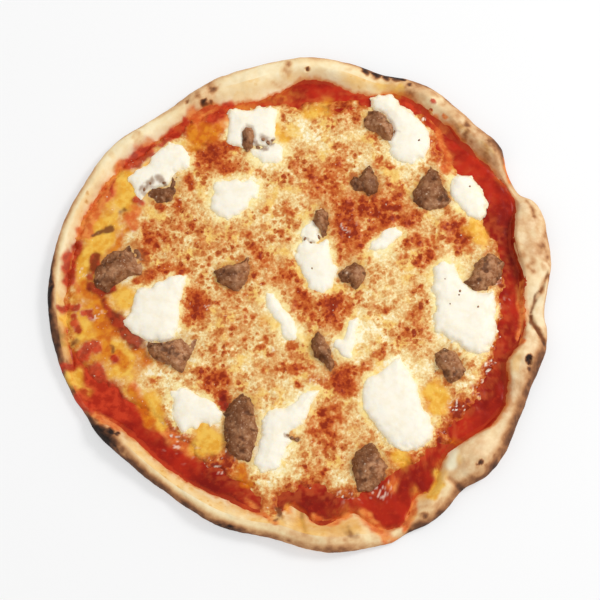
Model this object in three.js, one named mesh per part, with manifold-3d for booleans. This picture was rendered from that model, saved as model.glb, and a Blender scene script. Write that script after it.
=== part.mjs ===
// Sausage pizza: a hand-stretched crust with an uneven raised rim, tomato sauce, melted cheese,
// spoonfuls of fresh white cheese and torn chunks of sausage. Millimetres, +Z up. The origin is under
// the middle of the pizza, on the surface that it lies on, and +Y is the far side as served.
import * as THREE from "three";
import { mergeVertices } from "three/addons/utils/BufferGeometryUtils.js";
import Module from "manifold-3d";

const wasm = await Module();
wasm.setup();

// Driving dimensions
const BASE_THICKNESS = 4;
const SAUCE_THICKNESS = 1.6;
const CHEESE_THICKNESS = 2.4;
const CHEESE_DIPS = 1.1; // depth of the hollows between the blisters
const LAYER_GAP = 0.3; // clearance between layers that rest on each other
const FRESH_CHEESE_HEIGHT = { least: 2, perReach: 0.15 }; // a wider spoonful stands higher
const SAUSAGE_HEIGHT = { least: 3.5, perReach: 0.38 };

// Levels of the layers
const SAUCE_BOTTOM = BASE_THICKNESS + LAYER_GAP;
const SAUCE_TOP = SAUCE_BOTTOM + SAUCE_THICKNESS;
const CHEESE_BOTTOM = SAUCE_TOP + LAYER_GAP;
const CHEESE_TOP = CHEESE_BOTTOM + CHEESE_THICKNESS;

// Facets
const RIM_SECTORS = 128;
const CHEESE_SECTORS = 90;
const TOPPING_SECTORS = { fewest: 14, perReach: 0.55 }; // a larger topping has more sides

// Sections of the rim as it goes round, each [angle, reach, width, height, crown]. The angle is in degrees
// from +X towards +Y, reach is from the middle to the outside, width from there to the foot of the inner
// slope, and crown is where in the width the rim is highest.
const RIM_SECTIONS = [
  [0, 156, 18, 13, 0.45],
  [6, 160, 21, 14.5, 0.55],
  [13, 161.5, 24.5, 15.5, 0.62], // the folded flap
  [20, 163, 20, 15, 0.55],
  [22.5, 160.5, 13, 11.5, 0.5],
  [24.5, 154, 7, 7.5, 0.45], // the step where the flap begins
  [31, 153.5, 6.5, 7, 0.45], // the notch beside the flap
  [35.5, 161, 16, 12.5, 0.42],
  [45, 159.5, 17.5, 13.5, 0.45],
  [58, 162, 17, 14, 0.45],
  [64, 160.5, 15, 13, 0.42],
  [69, 157.5, 20, 12.5, 0.4],
  [76, 158, 22, 12.5, 0.4],
  [87, 159.5, 18.5, 14, 0.42],
  [95, 158, 22, 13.5, 0.42],
  [103, 156, 26, 12.5, 0.42], // the broad pale stretch
  [110, 155, 23, 12, 0.42],
  [116, 153, 17, 12, 0.42],
  [125, 151, 16, 11.5, 0.42],
  [132, 152, 14.5, 11.5, 0.42],
  [142, 157, 16, 12, 0.42],
  [152, 157.5, 13.5, 11.5, 0.42],
  [170, 159, 13.5, 12, 0.42],
  [181, 160, 14, 12, 0.42],
  [189, 159, 13, 10.5, 0.42],
  [197, 157.5, 9, 8.5, 0.42],
  [205, 156, 6, 7, 0.42], // the stretch that the sauce runs over
  [210, 154, 9, 8.5, 0.42],
  [215, 154.5, 15, 12.5, 0.42],
  [221, 152.5, 17, 13, 0.42],
  [230, 150.5, 15.5, 12, 0.42],
  [241, 151, 16, 12, 0.42],
  [251, 154.5, 19.5, 13, 0.42],
  [260, 155, 17, 13, 0.42],
  [265, 156, 21.5, 13.5, 0.42],
  [271, 160, 19, 14, 0.42],
  [278, 164, 21, 13.5, 0.42],
  [285, 164.5, 19, 10.5, 0.42],
  [289, 166, 10, 7, 0.42], // the spout
  [294, 164.5, 8, 7.5, 0.42],
  [299, 165, 19, 11.5, 0.42],
  [304, 163, 18, 11, 0.42],
  [309, 159, 24, 13, 0.45], // the nick beside the large bubble
  [315, 163, 28, 16.5, 0.55], // the large bubble
  [320, 162.5, 24, 16.5, 0.52],
  [326, 159.5, 17, 14.5, 0.45],
  [332, 157.5, 15, 13.5, 0.42],
  [338, 156.5, 19, 15, 0.55],
  [342, 157, 23, 16, 0.62], // the lip that leans in
  [346, 158, 19, 15, 0.55],
  [351, 157, 17, 12, 0.45],
  [355, 155, 17, 11.5, 0.45], // the tuck where the flap ends
];

// Where the melted cheese ends as it goes round, each [angle, reach]
const CHEESE_ENDS = [
  [0, 128],
  [10, 130],
  [18, 128],
  [30, 131],
  [44, 131],
  [53, 139],
  [66, 139],
  [78, 129],
  [94, 128],
  [104, 130],
  [120, 134],
  [138, 137],
  [150, 140],
  [170, 143],
  [185, 145],
  [196, 144],
  [204, 136],
  [212, 127],
  [224, 121],
  [236, 120],
  [250, 122],
  [261, 131],
  [268, 123],
  [276, 124],
  [284, 130],
  [298, 128],
  [314, 126],
  [340, 128],
];

// Pressed places on the rim: inset from the outside, radial half-width and depth in millimetres, and
// half-length along the rim in degrees.
const RIM_DENTS = [
  { at: 357, inset: 4, across: 7, along: 5, depth: 5 }, // the lower sheet under the flap's end
  { at: 309, inset: 2, across: 9, along: 2.5, depth: 2.5 },
  { at: 333, inset: 10, across: 6, along: 4, depth: 2 },
  { at: 143, inset: 9, across: 7, along: 4, depth: 2 },
  { at: 70, inset: 8, across: 9, along: 4, depth: 2 },
  { at: 240, inset: 8, across: 8, along: 4, depth: 1.5 },
];

// Toppings as overlapping lobes, each [x, y, radius]
const FRESH_CHEESE = [
  [[-81, 91, 10.5], [-91, 86, 10], [-101, 78, 9], [-102, 70, 5]],
  [[-39, 116, 9.5], [-23, 117, 9], [-43, 104, 6], [-24, 111, 7.5]],
  [[-21, 96, 8.5], [-26, 98, 6]],
  [[-36, 68, 10.5], [-49, 66, 8], [-45, 57, 7.4]],
  [[53, 127, 8], [62, 118, 8.5], [72, 106, 11.2], [69, 95, 8.5]],
  [[103, 71, 8], [109, 62, 9], [112, 55, 6]],
  [[60, 41, 5.8], [54, 37, 6.5], [47, 32, 5]],
  [[4, 28, 8.3], [12, 25, 8.5], [13, 12, 7.8], [8, 18, 7]],
  [[92, 12, 9], [95, -2, 12.5], [107, -12, 14], [113, -25, 11], [93, 23, 4.5], [101, -20, 9]],
  [[-86, -2, 12], [-96, -13, 12.5], [-89, -21, 9.5], [-83, -14, 10]],
  [[-17, -4, 5.6], [-11, -15, 6], [-6, -24, 5.6]],
  [[29, -33, 6.5], [33, -23, 4.5]],
  [[53, -63, 12], [61, -73, 14], [70, -85, 11], [47, -69, 9]],
  [[-74, -67, 8], [-66, -75, 9.5], [-55, -78, 6.6]],
  [[6, -69, 6.5], [-4, -78, 8], [-13, -87, 9.5], [-18, -99, 10.5], [-8, -95, 8.5]],
  [[7, 41, 6.3]],
];
const SAUSAGE = [
  [[-120, 15, 10], [-107, 21, 10], [-111, 29, 6.4]],
  [[-49, 12, 6.4], [-40, 14, 7.7], [-34, 19, 4.8]],
  [[48, 117, 6.4], [54, 111, 7]],
  [[40, 73, 7], [43, 80, 5.4], [47, 73, 4.6]],
  [[86, 76, 7.7], [80, 65, 7.7], [91, 64, 7]],
  [[13, 54, 5.6], [16, 47, 5.6]],
  [[29, 11, 6.4], [36, 16, 5.8]],
  [[120, 20, 7.7], [112, 9, 6.4], [123, 13, 6.4]],
  [[-87, -36, 8.3], [-76, -38, 7.7], [-68, -32, 6], [-79, -45, 5.2]],
  [[-37, -71, 8.3], [-36, -84, 10.2], [-33, -97, 8.3]],
  [[9, -24, 5.8], [13, -33, 6.4], [17, -41, 5.4]],
  [[92, -42, 7.7], [98, -47, 7]],
  [[44, -103, 9], [38, -113, 8.3], [47, -113, 7.7]],
  [[-93, 68, 5.8], [-82, 70, 5.2], [-77, 76, 4]],
  [[-34, 106, 4.4], [-33, 100, 4.6]],
];

// Finishes
const CRUST_FINISH = { color: 0xe6c795, roughness: 0.85, metalness: 0 };
const SAUCE_FINISH = { color: 0xa5281a, roughness: 0.3, metalness: 0 };
const CHEESE_FINISH = { color: 0xdc9f58, roughness: 0.4, metalness: 0 };
const FRESH_CHEESE_FINISH = { color: 0xfbf5e6, roughness: 0.45, metalness: 0 };
const SAUSAGE_FINISH = { color: 0x8f6546, roughness: 0.6, metalness: 0 };

const radians = (degrees) => (degrees * Math.PI) / 180;

// Shortest turn between two angles, in degrees
const turnBetween = (a, b) => Math.abs(((a - b + 540) % 360) - 180);

const fade = (t) => Math.exp(-t * t);

// A smooth line through a table of rows that goes round a full turn. Each row starts with its angle, and
// the line gives the row's other values at any angle.
function roundTable(rows) {
  const ENDS = 2; // rows repeated past each end, so that the line closes smoothly
  const turned = (row, turn) => [row[0] + turn, ...row.slice(1)];
  const around = [
    ...rows.slice(-ENDS).map((row) => turned(row, -360)),
    ...rows,
    ...rows.slice(0, ENDS).map((row) => turned(row, 360)),
  ];
  const angles = around.map(([angle]) => angle);
  const values = around.flatMap((row) => row.slice(1));
  const line = new THREE.CubicInterpolant(angles, values, rows[0].length - 1);
  return (angle) => [...line.evaluate(angle)];
}

const smooth = (t) => t * t * (3 - 2 * t);

const polar = (reach, angle, z) =>
  new THREE.Vector3(reach * Math.cos(radians(angle)), reach * Math.sin(radians(angle)), z);

// Seeded random numbers from 0 to 1
function randomFrom(seed) {
  let state = seed >>> 0;
  return () => {
    state = (Math.imul(state, 1664525) + 1013904223) >>> 0;
    return state / 2 ** 32;
  };
}

// A smooth uneven line round a full turn, from about -1 to 1
function unevenness(seed, slowest, fastest) {
  const random = randomFrom(seed);
  const waves = Array.from({ length: fastest - slowest + 1 }, (_, k) => ({
    turns: slowest + k,
    phase: 360 * random(),
  }));
  const wavesAt = (angle) =>
    waves.reduce((sum, { turns, phase }) => sum + Math.sin(radians(turns * angle + phase)), 0);
  return (angle) => wavesAt(angle) / Math.sqrt(waves.length);
}

// A closed skin of rings round an upright axis, where place(ring, angle, sector) gives each point. The
// first and last rings are single points, so the skin closes there.
function ringedSkin(ringCount, sectorCount, place) {
  const profile = Array.from({ length: ringCount }, (_, ring) => new THREE.Vector2(ring, ring));
  const skin = new THREE.LatheGeometry(profile, sectorCount);
  const position = skin.getAttribute("position");
  for (let turn = 0; turn <= sectorCount; turn++) {
    const sector = turn % sectorCount;
    for (let ring = 0; ring < ringCount; ring++) {
      const point = place(ring, (sector * 360) / sectorCount, sector);
      position.setXYZ(turn * ringCount + ring, point.x, point.y, point.z);
    }
  }
  return welded(skin);
}

function welded(geometry) {
  geometry.deleteAttribute("normal");
  geometry.deleteAttribute("uv");
  const merged = mergeVertices(geometry, 1e-3);
  merged.computeVertexNormals();
  return merged;
}

// Crust
const reachLine = unevenness(3, 9, 15);
const heightLine = unevenness(11, 7, 16);
const REACH_UNEVENNESS = 0.3;
const HEIGHT_UNEVENNESS = 0.6;

const rimTable = roundTable(RIM_SECTIONS);

function rimAt(angle) {
  const [reach, width, height, crown] = rimTable(angle);
  return {
    reach: reach + REACH_UNEVENNESS * reachLine(angle),
    width,
    height: height + HEIGHT_UNEVENNESS * heightLine(angle),
    crown: crown * width,
  };
}

function rimFoot(angle) {
  const { reach, width } = rimAt(angle);
  return reach - width;
}

const dentAt = (angle, inset) =>
  RIM_DENTS.reduce((sum, dent) => {
    const along = turnBetween(angle, dent.at) / dent.along;
    const across = (inset - dent.inset) / dent.across;
    return sum + dent.depth * fade(along) * fade(across);
  }, 0);

// The rim's section is an egg: round outside, with its widest point low down, and a long slope inside.
function makeCrust() {
  const WIDEST_HEIGHT = 0.42; // of the rim's height
  const ROUND_STEPS = 8;
  const SLOPE_STEPS = 5;
  const firstRound = 1;
  const firstSlope = firstRound + ROUND_STEPS + 1;
  const ringCount = firstSlope + SLOPE_STEPS + 1;
  return ringedSkin(ringCount, RIM_SECTORS, (ring, angle) => {
    if (ring === 0) return new THREE.Vector3(0, 0, 0);
    if (ring === ringCount - 1) return new THREE.Vector3(0, 0, BASE_THICKNESS);
    const { reach, width, height, crown } = rimAt(angle);
    const widest = WIDEST_HEIGHT * height;
    let inset;
    let z;
    if (ring < firstSlope) {
      const lift = radians(-90 + (180 * (ring - firstRound)) / ROUND_STEPS);
      inset = crown * (1 - Math.cos(lift));
      z = widest + Math.sin(lift) * (lift > 0 ? height - widest : widest);
    } else {
      const down = (ring - firstSlope + 1) / SLOPE_STEPS;
      inset = crown + (width - crown) * down;
      z = height + (BASE_THICKNESS - height) * smooth(down);
    }
    const top = z > widest ? (z - widest) / (height - widest) : 0;
    z = Math.max(z - top * dentAt(angle, inset), Math.min(z, BASE_THICKNESS));
    return polar(reach - inset, angle, z);
  });
}

// Tomato sauce: it fills the dish inside the rim, flat under the cheese and rippled where it shows.
function makeSauce() {
  const EDGE_CLEARANCE = 0.6;
  const EDGE_ROUNDING = 1.2;
  const BAND_WIDTH = 5; // least width of the rippled band
  const RIPPLE_DEPTH = 0.25;
  const RIPPLE_SWING = 0.2;
  const ripples = [unevenness(21, 12, 30), unevenness(22, 14, 32)];
  return ringedSkin(6, RIM_SECTORS, (ring, angle) => {
    const edge = rimFoot(angle) - EDGE_CLEARANCE;
    const shore = Math.min(cheeseReach(angle), edge - BAND_WIDTH);
    const ripple = (line) => Math.max(0, RIPPLE_DEPTH + RIPPLE_SWING * line(angle));
    return [
      polar(0, angle, SAUCE_BOTTOM),
      polar(edge - EDGE_ROUNDING, angle, SAUCE_BOTTOM),
      polar(edge, angle, SAUCE_BOTTOM + SAUCE_THICKNESS / 2),
      polar(edge - EDGE_ROUNDING, angle, SAUCE_TOP - ripple(ripples[0])),
      polar(shore, angle, SAUCE_TOP - ripple(ripples[1])),
      polar(0, angle, SAUCE_TOP),
    ][ring];
  });
}

// Melted cheese: a thin sheet with a ragged edge and blisters. Its highest level carries the toppings.
const cheeseEdge = unevenness(31, 11, 40);
const EDGE_RAGGEDNESS = 1.2;
const cheeseTable = roundTable(CHEESE_ENDS);
const LEAST_SAUCE = 2.5; // sauce that shows between the cheese and the foot of the rim
const TOPPING_MARGIN = 3; // level cheese round a topping

function cheeseReach(angle) {
  const [reach] = cheeseTable(angle);
  return Math.min(reach + EDGE_RAGGEDNESS * cheeseEdge(angle), rimFoot(angle) - LEAST_SAUCE);
}

const isCovered = (x, y) => {
  const lobes = [...FRESH_CHEESE, ...SAUSAGE].flat();
  return lobes.some(([lobeX, lobeY, r]) => Math.hypot(x - lobeX, y - lobeY) < r + TOPPING_MARGIN);
};

// Hollows between the blisters, wherever no topping lies
function scatterHollows() {
  const HOLLOW_COUNT = 70;
  const NARROWEST = 6;
  const WIDEST = 10;
  const FARTHEST = 125;
  const random = randomFrom(41);
  const hollows = [];
  while (hollows.length < HOLLOW_COUNT) {
    const { x, y } = polar(FARTHEST * Math.sqrt(random()), 360 * random(), 0);
    const spread = NARROWEST + (WIDEST - NARROWEST) * random();
    if (!isCovered(x, y)) hollows.push({ x, y, spread });
  }
  return hollows;
}

function makeCheese() {
  const RING_REACHES = [1, 0.97, 0.91, 0.83, 0.74, 0.65, 0.56, 0.47, 0.38, 0.29, 0.2, 0.1];
  const EDGE_LEVEL = 0.35; // of the sheet's thickness
  const hollows = scatterHollows();
  const dipAt = (point) =>
    hollows.reduce((deepest, { x, y, spread }) => {
      const across = Math.hypot(point.x - x, point.y - y) / spread;
      return Math.max(deepest, CHEESE_DIPS * fade(across));
    }, 0);
  const ringCount = RING_REACHES.length + 3;
  return ringedSkin(ringCount, CHEESE_SECTORS, (ring, angle) => {
    if (ring === 0) return polar(0, angle, CHEESE_BOTTOM);
    if (ring === 1) return polar(cheeseReach(angle), angle, CHEESE_BOTTOM);
    if (ring === ringCount - 1) return polar(0, angle, CHEESE_TOP);
    const step = ring - 2;
    const point = polar(cheeseReach(angle) * RING_REACHES[step], angle, CHEESE_TOP);
    if (step === 0) point.z = CHEESE_BOTTOM + EDGE_LEVEL * CHEESE_THICKNESS;
    else point.z -= dipAt(point);
    return point;
  });
}

// Toppings are mounds over the outline of their lobes.
function outlineOf(lobes) {
  const area = lobes.reduce((sum, [, , r]) => sum + r * r, 0);
  const middle = new THREE.Vector2(
    lobes.reduce((sum, [x, , r]) => sum + x * r * r, 0) / area,
    lobes.reduce((sum, [, y, r]) => sum + y * r * r, 0) / area,
  );
  // Where a ray from the middle leaves the last lobe that it meets
  const leaves = (angle) => {
    const ray = new THREE.Vector2(Math.cos(radians(angle)), Math.sin(radians(angle)));
    return Math.max(
      ...lobes.map(([x, y, r]) => {
        const to = new THREE.Vector2(x, y).sub(middle);
        const along = to.dot(ray);
        const spare = r * r - to.lengthSq() + along * along;
        return spare > 0 ? along + Math.sqrt(spare) : 0;
      }),
    );
  };
  const size = Math.sqrt(area);
  const sectorCount = Math.round(TOPPING_SECTORS.fewest + TOPPING_SECTORS.perReach * size);
  const blur = 180 / sectorCount;
  const reach = (angle) => (leaves(angle - blur) + 2 * leaves(angle) + leaves(angle + blur)) / 4;
  const angles = Array.from({ length: sectorCount }, (_, k) => (k * 360) / sectorCount);
  const meanReach = angles.reduce((sum, angle) => sum + reach(angle), 0) / sectorCount;
  return { middle, reach, meanReach, sectorCount };
}

// bluntness sets how far the top stays level before the sides fall, and cragginess how far the facets
// stand in and out.
function makeMound(lobes, { heights, bluntness, cragginess, seed, level }) {
  const SPREADS = [1, 0.96, 0.82, 0.55];
  const { middle, reach, meanReach, sectorCount } = outlineOf(lobes);
  const height = heights.least + heights.perReach * meanReach;
  const random = randomFrom(seed);
  const crag = () => 1 + cragginess * (random() - 0.5);
  const crags = SPREADS.map(() => Array.from({ length: sectorCount }, crag));
  const ringCount = SPREADS.length + 2;
  return ringedSkin(ringCount, sectorCount, (ring, angle, sector) => {
    if (ring === 0) return new THREE.Vector3(middle.x, middle.y, level);
    if (ring === ringCount - 1) return new THREE.Vector3(middle.x, middle.y, level + height);
    const step = ring - 1;
    const out = polar(reach(angle) * SPREADS[step] * crags[step][sector], angle, 0);
    const rise = Math.sqrt(1 - SPREADS[step] ** bluntness) * crags[step][sector];
    return new THREE.Vector3(middle.x + out.x, middle.y + out.y, level + height * Math.min(1, rise));
  });
}

const toSolid = (geometry) =>
  new wasm.Manifold(
    new wasm.Mesh({
      numProp: 3,
      vertProperties: new Float32Array(geometry.getAttribute("position").array),
      triVerts: new Uint32Array(geometry.index.array),
    }),
  );

function toGeometry(solid) {
  const { vertProperties, triVerts } = solid.getMesh();
  const geometry = new THREE.BufferGeometry();
  geometry.setAttribute("position", new THREE.BufferAttribute(vertProperties, 3));
  geometry.setIndex(new THREE.BufferAttribute(triVerts, 1));
  geometry.computeVertexNormals();
  return geometry;
}

// The same mound, larger by twice the clearance on every side, to press its seat into a neighbour
function grown(geometry, clearance) {
  geometry.computeBoundingBox();
  const middle = geometry.boundingBox.getCenter(new THREE.Vector3());
  const size = geometry.boundingBox.getSize(new THREE.Vector3());
  const larger = (length) => (length + 4 * clearance) / length;
  return geometry
    .clone()
    .translate(-middle.x, -middle.y, -middle.z)
    .scale(larger(size.x), larger(size.y), larger(size.z))
    .translate(middle.x, middle.y, middle.z);
}

// A spoonful keeps clear of the neighbours that lie against it. A scrap that one cuts off is dropped.
function pressedClear(spoonful, neighbours) {
  spoonful.computeBoundingBox();
  const near = neighbours
    .map((neighbour) => grown(neighbour, LAYER_GAP))
    .filter((neighbour) => {
      neighbour.computeBoundingBox();
      return neighbour.boundingBox.intersectsBox(spoonful.boundingBox);
    });
  if (near.length === 0) return spoonful;
  const left = near.reduce((solid, neighbour) => solid.subtract(toSolid(neighbour)), toSolid(spoonful));
  const [largest] = left.decompose().sort((a, b) => b.volume() - a.volume());
  return toGeometry(largest);
}

const TOPPING_LEVEL = CHEESE_TOP + LAYER_GAP;
const chunks = SAUSAGE.map((lobes, k) =>
  makeMound(lobes, {
    heights: SAUSAGE_HEIGHT,
    bluntness: 5,
    cragginess: 0.16,
    seed: 100 + k,
    level: TOPPING_LEVEL,
  }),
);
const spoonfuls = FRESH_CHEESE.map((lobes, k) =>
  makeMound(lobes, {
    heights: FRESH_CHEESE_HEIGHT,
    bluntness: 5,
    cragginess: 0.08,
    seed: 200 + k,
    level: TOPPING_LEVEL,
  }),
);

// Assembly. The layers are shaped about the dough's own middle, and the whole is set so that its box is
// centred on the origin.
const pizza = new THREE.Group();
const layers = new THREE.Group();
pizza.add(layers);

function addPiece(name, geometry, finish) {
  const piece = new THREE.Mesh(geometry, new THREE.MeshStandardMaterial(finish));
  piece.name = name;
  layers.add(piece);
}

const numbered = (name, k) => `${name}_${String(k + 1).padStart(2, "0")}`;

addPiece("crust", makeCrust(), CRUST_FINISH);
addPiece("tomato_sauce", makeSauce(), SAUCE_FINISH);
addPiece("melted_cheese", makeCheese(), CHEESE_FINISH);
spoonfuls.forEach((spoonful, k) => {
  const neighbours = [...chunks, ...spoonfuls.slice(0, k)];
  addPiece(numbered("fresh_cheese", k), pressedClear(spoonful, neighbours), FRESH_CHEESE_FINISH);
});
chunks.forEach((chunk, k) => addPiece(numbered("sausage", k), chunk, SAUSAGE_FINISH));

const extent = new THREE.Box3().setFromObject(layers);
const middle = extent.getCenter(new THREE.Vector3());
layers.position.set(-middle.x, -middle.y, 0);

export default pizza;
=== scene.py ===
import math

import bpy
import numpy as np
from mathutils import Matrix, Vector
from mathutils.bvhtree import BVHTree


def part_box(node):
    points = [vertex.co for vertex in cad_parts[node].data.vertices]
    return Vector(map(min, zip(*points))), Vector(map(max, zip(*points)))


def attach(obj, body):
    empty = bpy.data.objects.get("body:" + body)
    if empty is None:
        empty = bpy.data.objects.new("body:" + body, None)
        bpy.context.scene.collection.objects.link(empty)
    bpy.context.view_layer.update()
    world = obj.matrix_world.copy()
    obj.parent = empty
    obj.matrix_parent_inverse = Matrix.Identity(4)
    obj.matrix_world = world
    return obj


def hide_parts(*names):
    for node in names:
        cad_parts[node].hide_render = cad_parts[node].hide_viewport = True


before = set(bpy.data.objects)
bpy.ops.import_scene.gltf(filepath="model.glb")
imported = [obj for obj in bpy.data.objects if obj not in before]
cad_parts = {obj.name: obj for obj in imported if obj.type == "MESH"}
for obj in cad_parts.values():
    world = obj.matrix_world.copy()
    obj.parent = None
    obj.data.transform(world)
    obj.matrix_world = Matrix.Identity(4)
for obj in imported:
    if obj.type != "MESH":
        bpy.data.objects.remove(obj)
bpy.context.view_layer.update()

mm = 0.001


# small helpers

def deselectAll():
    if bpy.context.object and bpy.context.object.mode != "OBJECT":
        bpy.ops.object.mode_set(mode="OBJECT")
    bpy.ops.object.select_all(action="DESELECT")


def makeActive(piece):
    deselectAll()
    piece.select_set(True)
    bpy.context.view_layer.objects.active = piece


def readPoints(piece):  # in millimetres
    points = np.empty(len(piece.data.vertices) * 3, np.float32)
    piece.data.vertices.foreach_get("co", points)
    return points.reshape(-1, 3).astype(float) / mm


def writePoints(piece, points):
    piece.data.vertices.foreach_set("co", (points * mm).astype(np.float32).ravel())
    piece.data.update()


def paint(piece, name, values):  # one number for each vertex, for the material
    layer = piece.data.attributes.new(name, "FLOAT", "POINT")
    more = len(piece.data.vertices) - len(values)  # an underside added since stays at 0
    values = np.concatenate([values, np.zeros(more)])
    layer.data.foreach_set("value", np.clip(values, 0, 2).astype(np.float32))


def smooth(t):
    t = np.clip(t, 0, 1)
    return t * t * (3 - 2 * t)


def between(low, high, values):  # 0 below low, 1 above high
    return smooth((values - low) / (high - low))


def latticeValue(ix, iy, iz, seed):  # a scattered number from 0 to 1 for each whole-number place
    h = ix.astype(np.uint32) * np.uint32(374761393) + iy.astype(np.uint32) * np.uint32(668265263)
    h = h + iz.astype(np.uint32) * np.uint32(2246822519) + np.uint32(seed * 977 + 131)
    h = (h ^ (h >> np.uint32(13))) * np.uint32(1274126177)
    h = h ^ (h >> np.uint32(16))
    return h.astype(float) / 4294967295.0


def softNoise(points, size, seed):  # smooth lumps about one size across, from -1 to 1
    scaled = points / size + 500.0
    base = np.floor(scaled).astype(np.int64)
    part = scaled - base
    part = part ** 3 * (part * (part * 6 - 15) + 10)
    total = np.zeros(len(points))
    for dx in (0, 1):
        for dy in (0, 1):
            for dz in (0, 1):
                weight = np.abs(1 - dx - part[:, 0]) * np.abs(1 - dy - part[:, 1])
                weight = weight * np.abs(1 - dz - part[:, 2])
                total += weight * latticeValue(base[:, 0] + dx, base[:, 1] + dy, base[:, 2] + dz, seed)
    return total * 2 - 1


def lumps(points, size, seed, layers=3):  # each layer half the size and half as strong
    total = 0
    for k in range(layers):
        total = total + softNoise(points, size / 2 ** k, seed + 17 * k) / 2 ** k
    return total / 1.5


def flat(x, y):
    return np.column_stack([x, y, np.zeros(len(x))])


def stirred(x, y, by, size, seed):  # places moved about a little, so that painted edges are ragged
    place = flat(x, y)
    return x + by * lumps(place, size, seed, 2), y + by * lumps(place, size, seed + 7, 2)


def dots(x, y, size, seed):  # round dots of uneven size and strength, one to a square of that size
    across = np.floor(x / size).astype(np.int64) + 1000
    along = np.floor(y / size).astype(np.int64) + 1000
    level = np.zeros_like(across)
    best = np.zeros(len(x))
    for dx in (-1, 0, 1):
        for dy in (-1, 0, 1):
            px = (across + dx - 1000 + latticeValue(across + dx, along + dy, level, seed)) * size
            py = (along + dy - 1000 + latticeValue(across + dx, along + dy, level, seed + 1)) * size
            radius = size * (0.08 + 0.36 * latticeValue(across + dx, along + dy, level, seed + 2) ** 2)
            strength = 0.45 + 0.55 * latticeValue(across + dx, along + dy, level, seed + 3)
            best = np.maximum(best, strength * smooth(1.6 - np.hypot(x - px, y - py) / radius))
    return best


def sparkle(x, y, low, high, size, seed):  # ragged glints in scattered clusters
    specks = between(low, high, dots(*stirred(x, y, 1.3, 3, seed + 2), size, seed))
    return specks * between(-0.1, 0.15, softNoise(flat(x, y), 4.5, seed + 4))


def stripFor(name, sectors, rings):  # a flat strip of faces, and each vertex's angle and ring in it
    deselectAll()
    bpy.ops.mesh.primitive_grid_add(x_subdivisions=sectors, y_subdivisions=rings, size=2)
    piece = bpy.context.object
    piece.name = name
    points = readPoints(piece) * mm
    angle = np.round((points[:, 0] + 1) / 2 * sectors) % sectors * 360 / sectors
    return piece, angle, np.round((points[:, 1] + 1) / 2 * rings).astype(int)


def closeUp(piece):  # joins the seam and the two ends of a rolled strip
    makeActive(piece)
    bpy.ops.object.mode_set(mode="EDIT")
    bpy.ops.mesh.select_all(action="SELECT")
    bpy.ops.mesh.remove_doubles(threshold=0.001 * mm)
    bpy.ops.mesh.normals_make_consistent(inside=False)
    bpy.ops.object.mode_set(mode="OBJECT")
    bpy.ops.object.shade_smooth()


def sheetFor(name, low, high, step, inside, spare):  # a sheet of small faces, cut away where it's outside
    deselectAll()
    half = (np.array(high) - np.array(low)) / 2
    counts = np.ceil(2 * half / step).astype(int)
    bpy.ops.mesh.primitive_grid_add(x_subdivisions=int(counts[0]), y_subdivisions=int(counts[1]), size=2)
    sheet = bpy.context.object
    sheet.name = name
    points = readPoints(sheet) * mm
    points[:, :2] = points[:, :2] * half + (np.array(high) + np.array(low)) / 2
    writePoints(sheet, points)
    outside = inside(points[:, 0], points[:, 1]) < -spare
    bpy.ops.object.mode_set(mode="EDIT")
    bpy.ops.mesh.select_mode(type="VERT")
    bpy.ops.mesh.select_all(action="DESELECT")
    bpy.ops.object.mode_set(mode="OBJECT")
    sheet.data.vertices.foreach_set("select", outside)
    bpy.ops.object.mode_set(mode="EDIT")
    bpy.ops.mesh.delete(type="VERT")
    bpy.ops.object.mode_set(mode="OBJECT")
    points = readPoints(sheet)
    return sheet, points[:, 0], points[:, 1]


def sealUnder(sheet, drop):  # turns a sheet into a closed piece with a flat skirt and an underside
    makeActive(sheet)
    bpy.ops.object.mode_set(mode="EDIT")
    bpy.ops.mesh.select_all(action="DESELECT")
    bpy.ops.mesh.select_mode(type="EDGE")
    bpy.ops.mesh.select_non_manifold(extend=False, use_wire=True, use_boundary=True, use_multi_face=False,
                                     use_non_contiguous=False, use_verts=False)
    bpy.ops.mesh.extrude_edges_move(TRANSFORM_OT_translate={"value": (0, 0, -drop * mm)})
    bpy.ops.mesh.edge_face_add()
    bpy.ops.mesh.select_all(action="SELECT")
    bpy.ops.mesh.normals_make_consistent(inside=False)
    bpy.ops.object.mode_set(mode="OBJECT")
    bpy.ops.object.shade_smooth()


# camera, floor and light

cameraSet = {"elevation": 76, "distance": 1100, "lens": 104.4, "sensor": 36, "aim": (0.12, -2.05, 6)}
picture = 600  # points across and down
pointSize = 0.64  # millimetres to a picture point
levels = {  # heights in millimetres at which picture points are read
    "rim": 12, "drip": 10, "sauce": 9, "cheese": 8, "tops": 10, "meat": 11, "fresh": 12,
}


def cameraPlace():
    lift = math.radians(cameraSet["elevation"])
    forward = np.array([0, math.cos(lift), -math.sin(lift)])
    return np.array(cameraSet["aim"]) - forward * cameraSet["distance"], forward


def seenAt(u, v, height):  # where the picture point u, v meets that height, in millimetres
    place, forward = cameraPlace()
    up = np.array([0, -forward[2], forward[1]])
    focal = cameraSet["lens"] / cameraSet["sensor"] * picture
    ray = forward + np.array([1, 0, 0]) * (u - picture / 2) / focal + up * (picture / 2 - v) / focal
    point = place + ray * (height - place[2]) / ray[2]
    return point[0], point[1]


def makeCamera():
    place, forward = cameraPlace()
    deselectAll()
    bpy.ops.object.camera_add(location=Vector(place * mm))
    camera = bpy.context.object
    camera.rotation_euler = Vector(forward).to_track_quat("-Z", "Y").to_euler()
    camera.data.lens = cameraSet["lens"]
    camera.data.sensor_width = cameraSet["sensor"]
    camera.data.clip_end = 20
    bpy.context.scene.camera = camera


lightSet = {
    "key": {"place": (1.1, 0.5, 1.35), "size": 0.5, "power": 16},
    "fill": {"place": (-0.9, -0.5, 1.3), "size": 1.4, "power": 2},
    "sky": 0.61,
}


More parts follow.
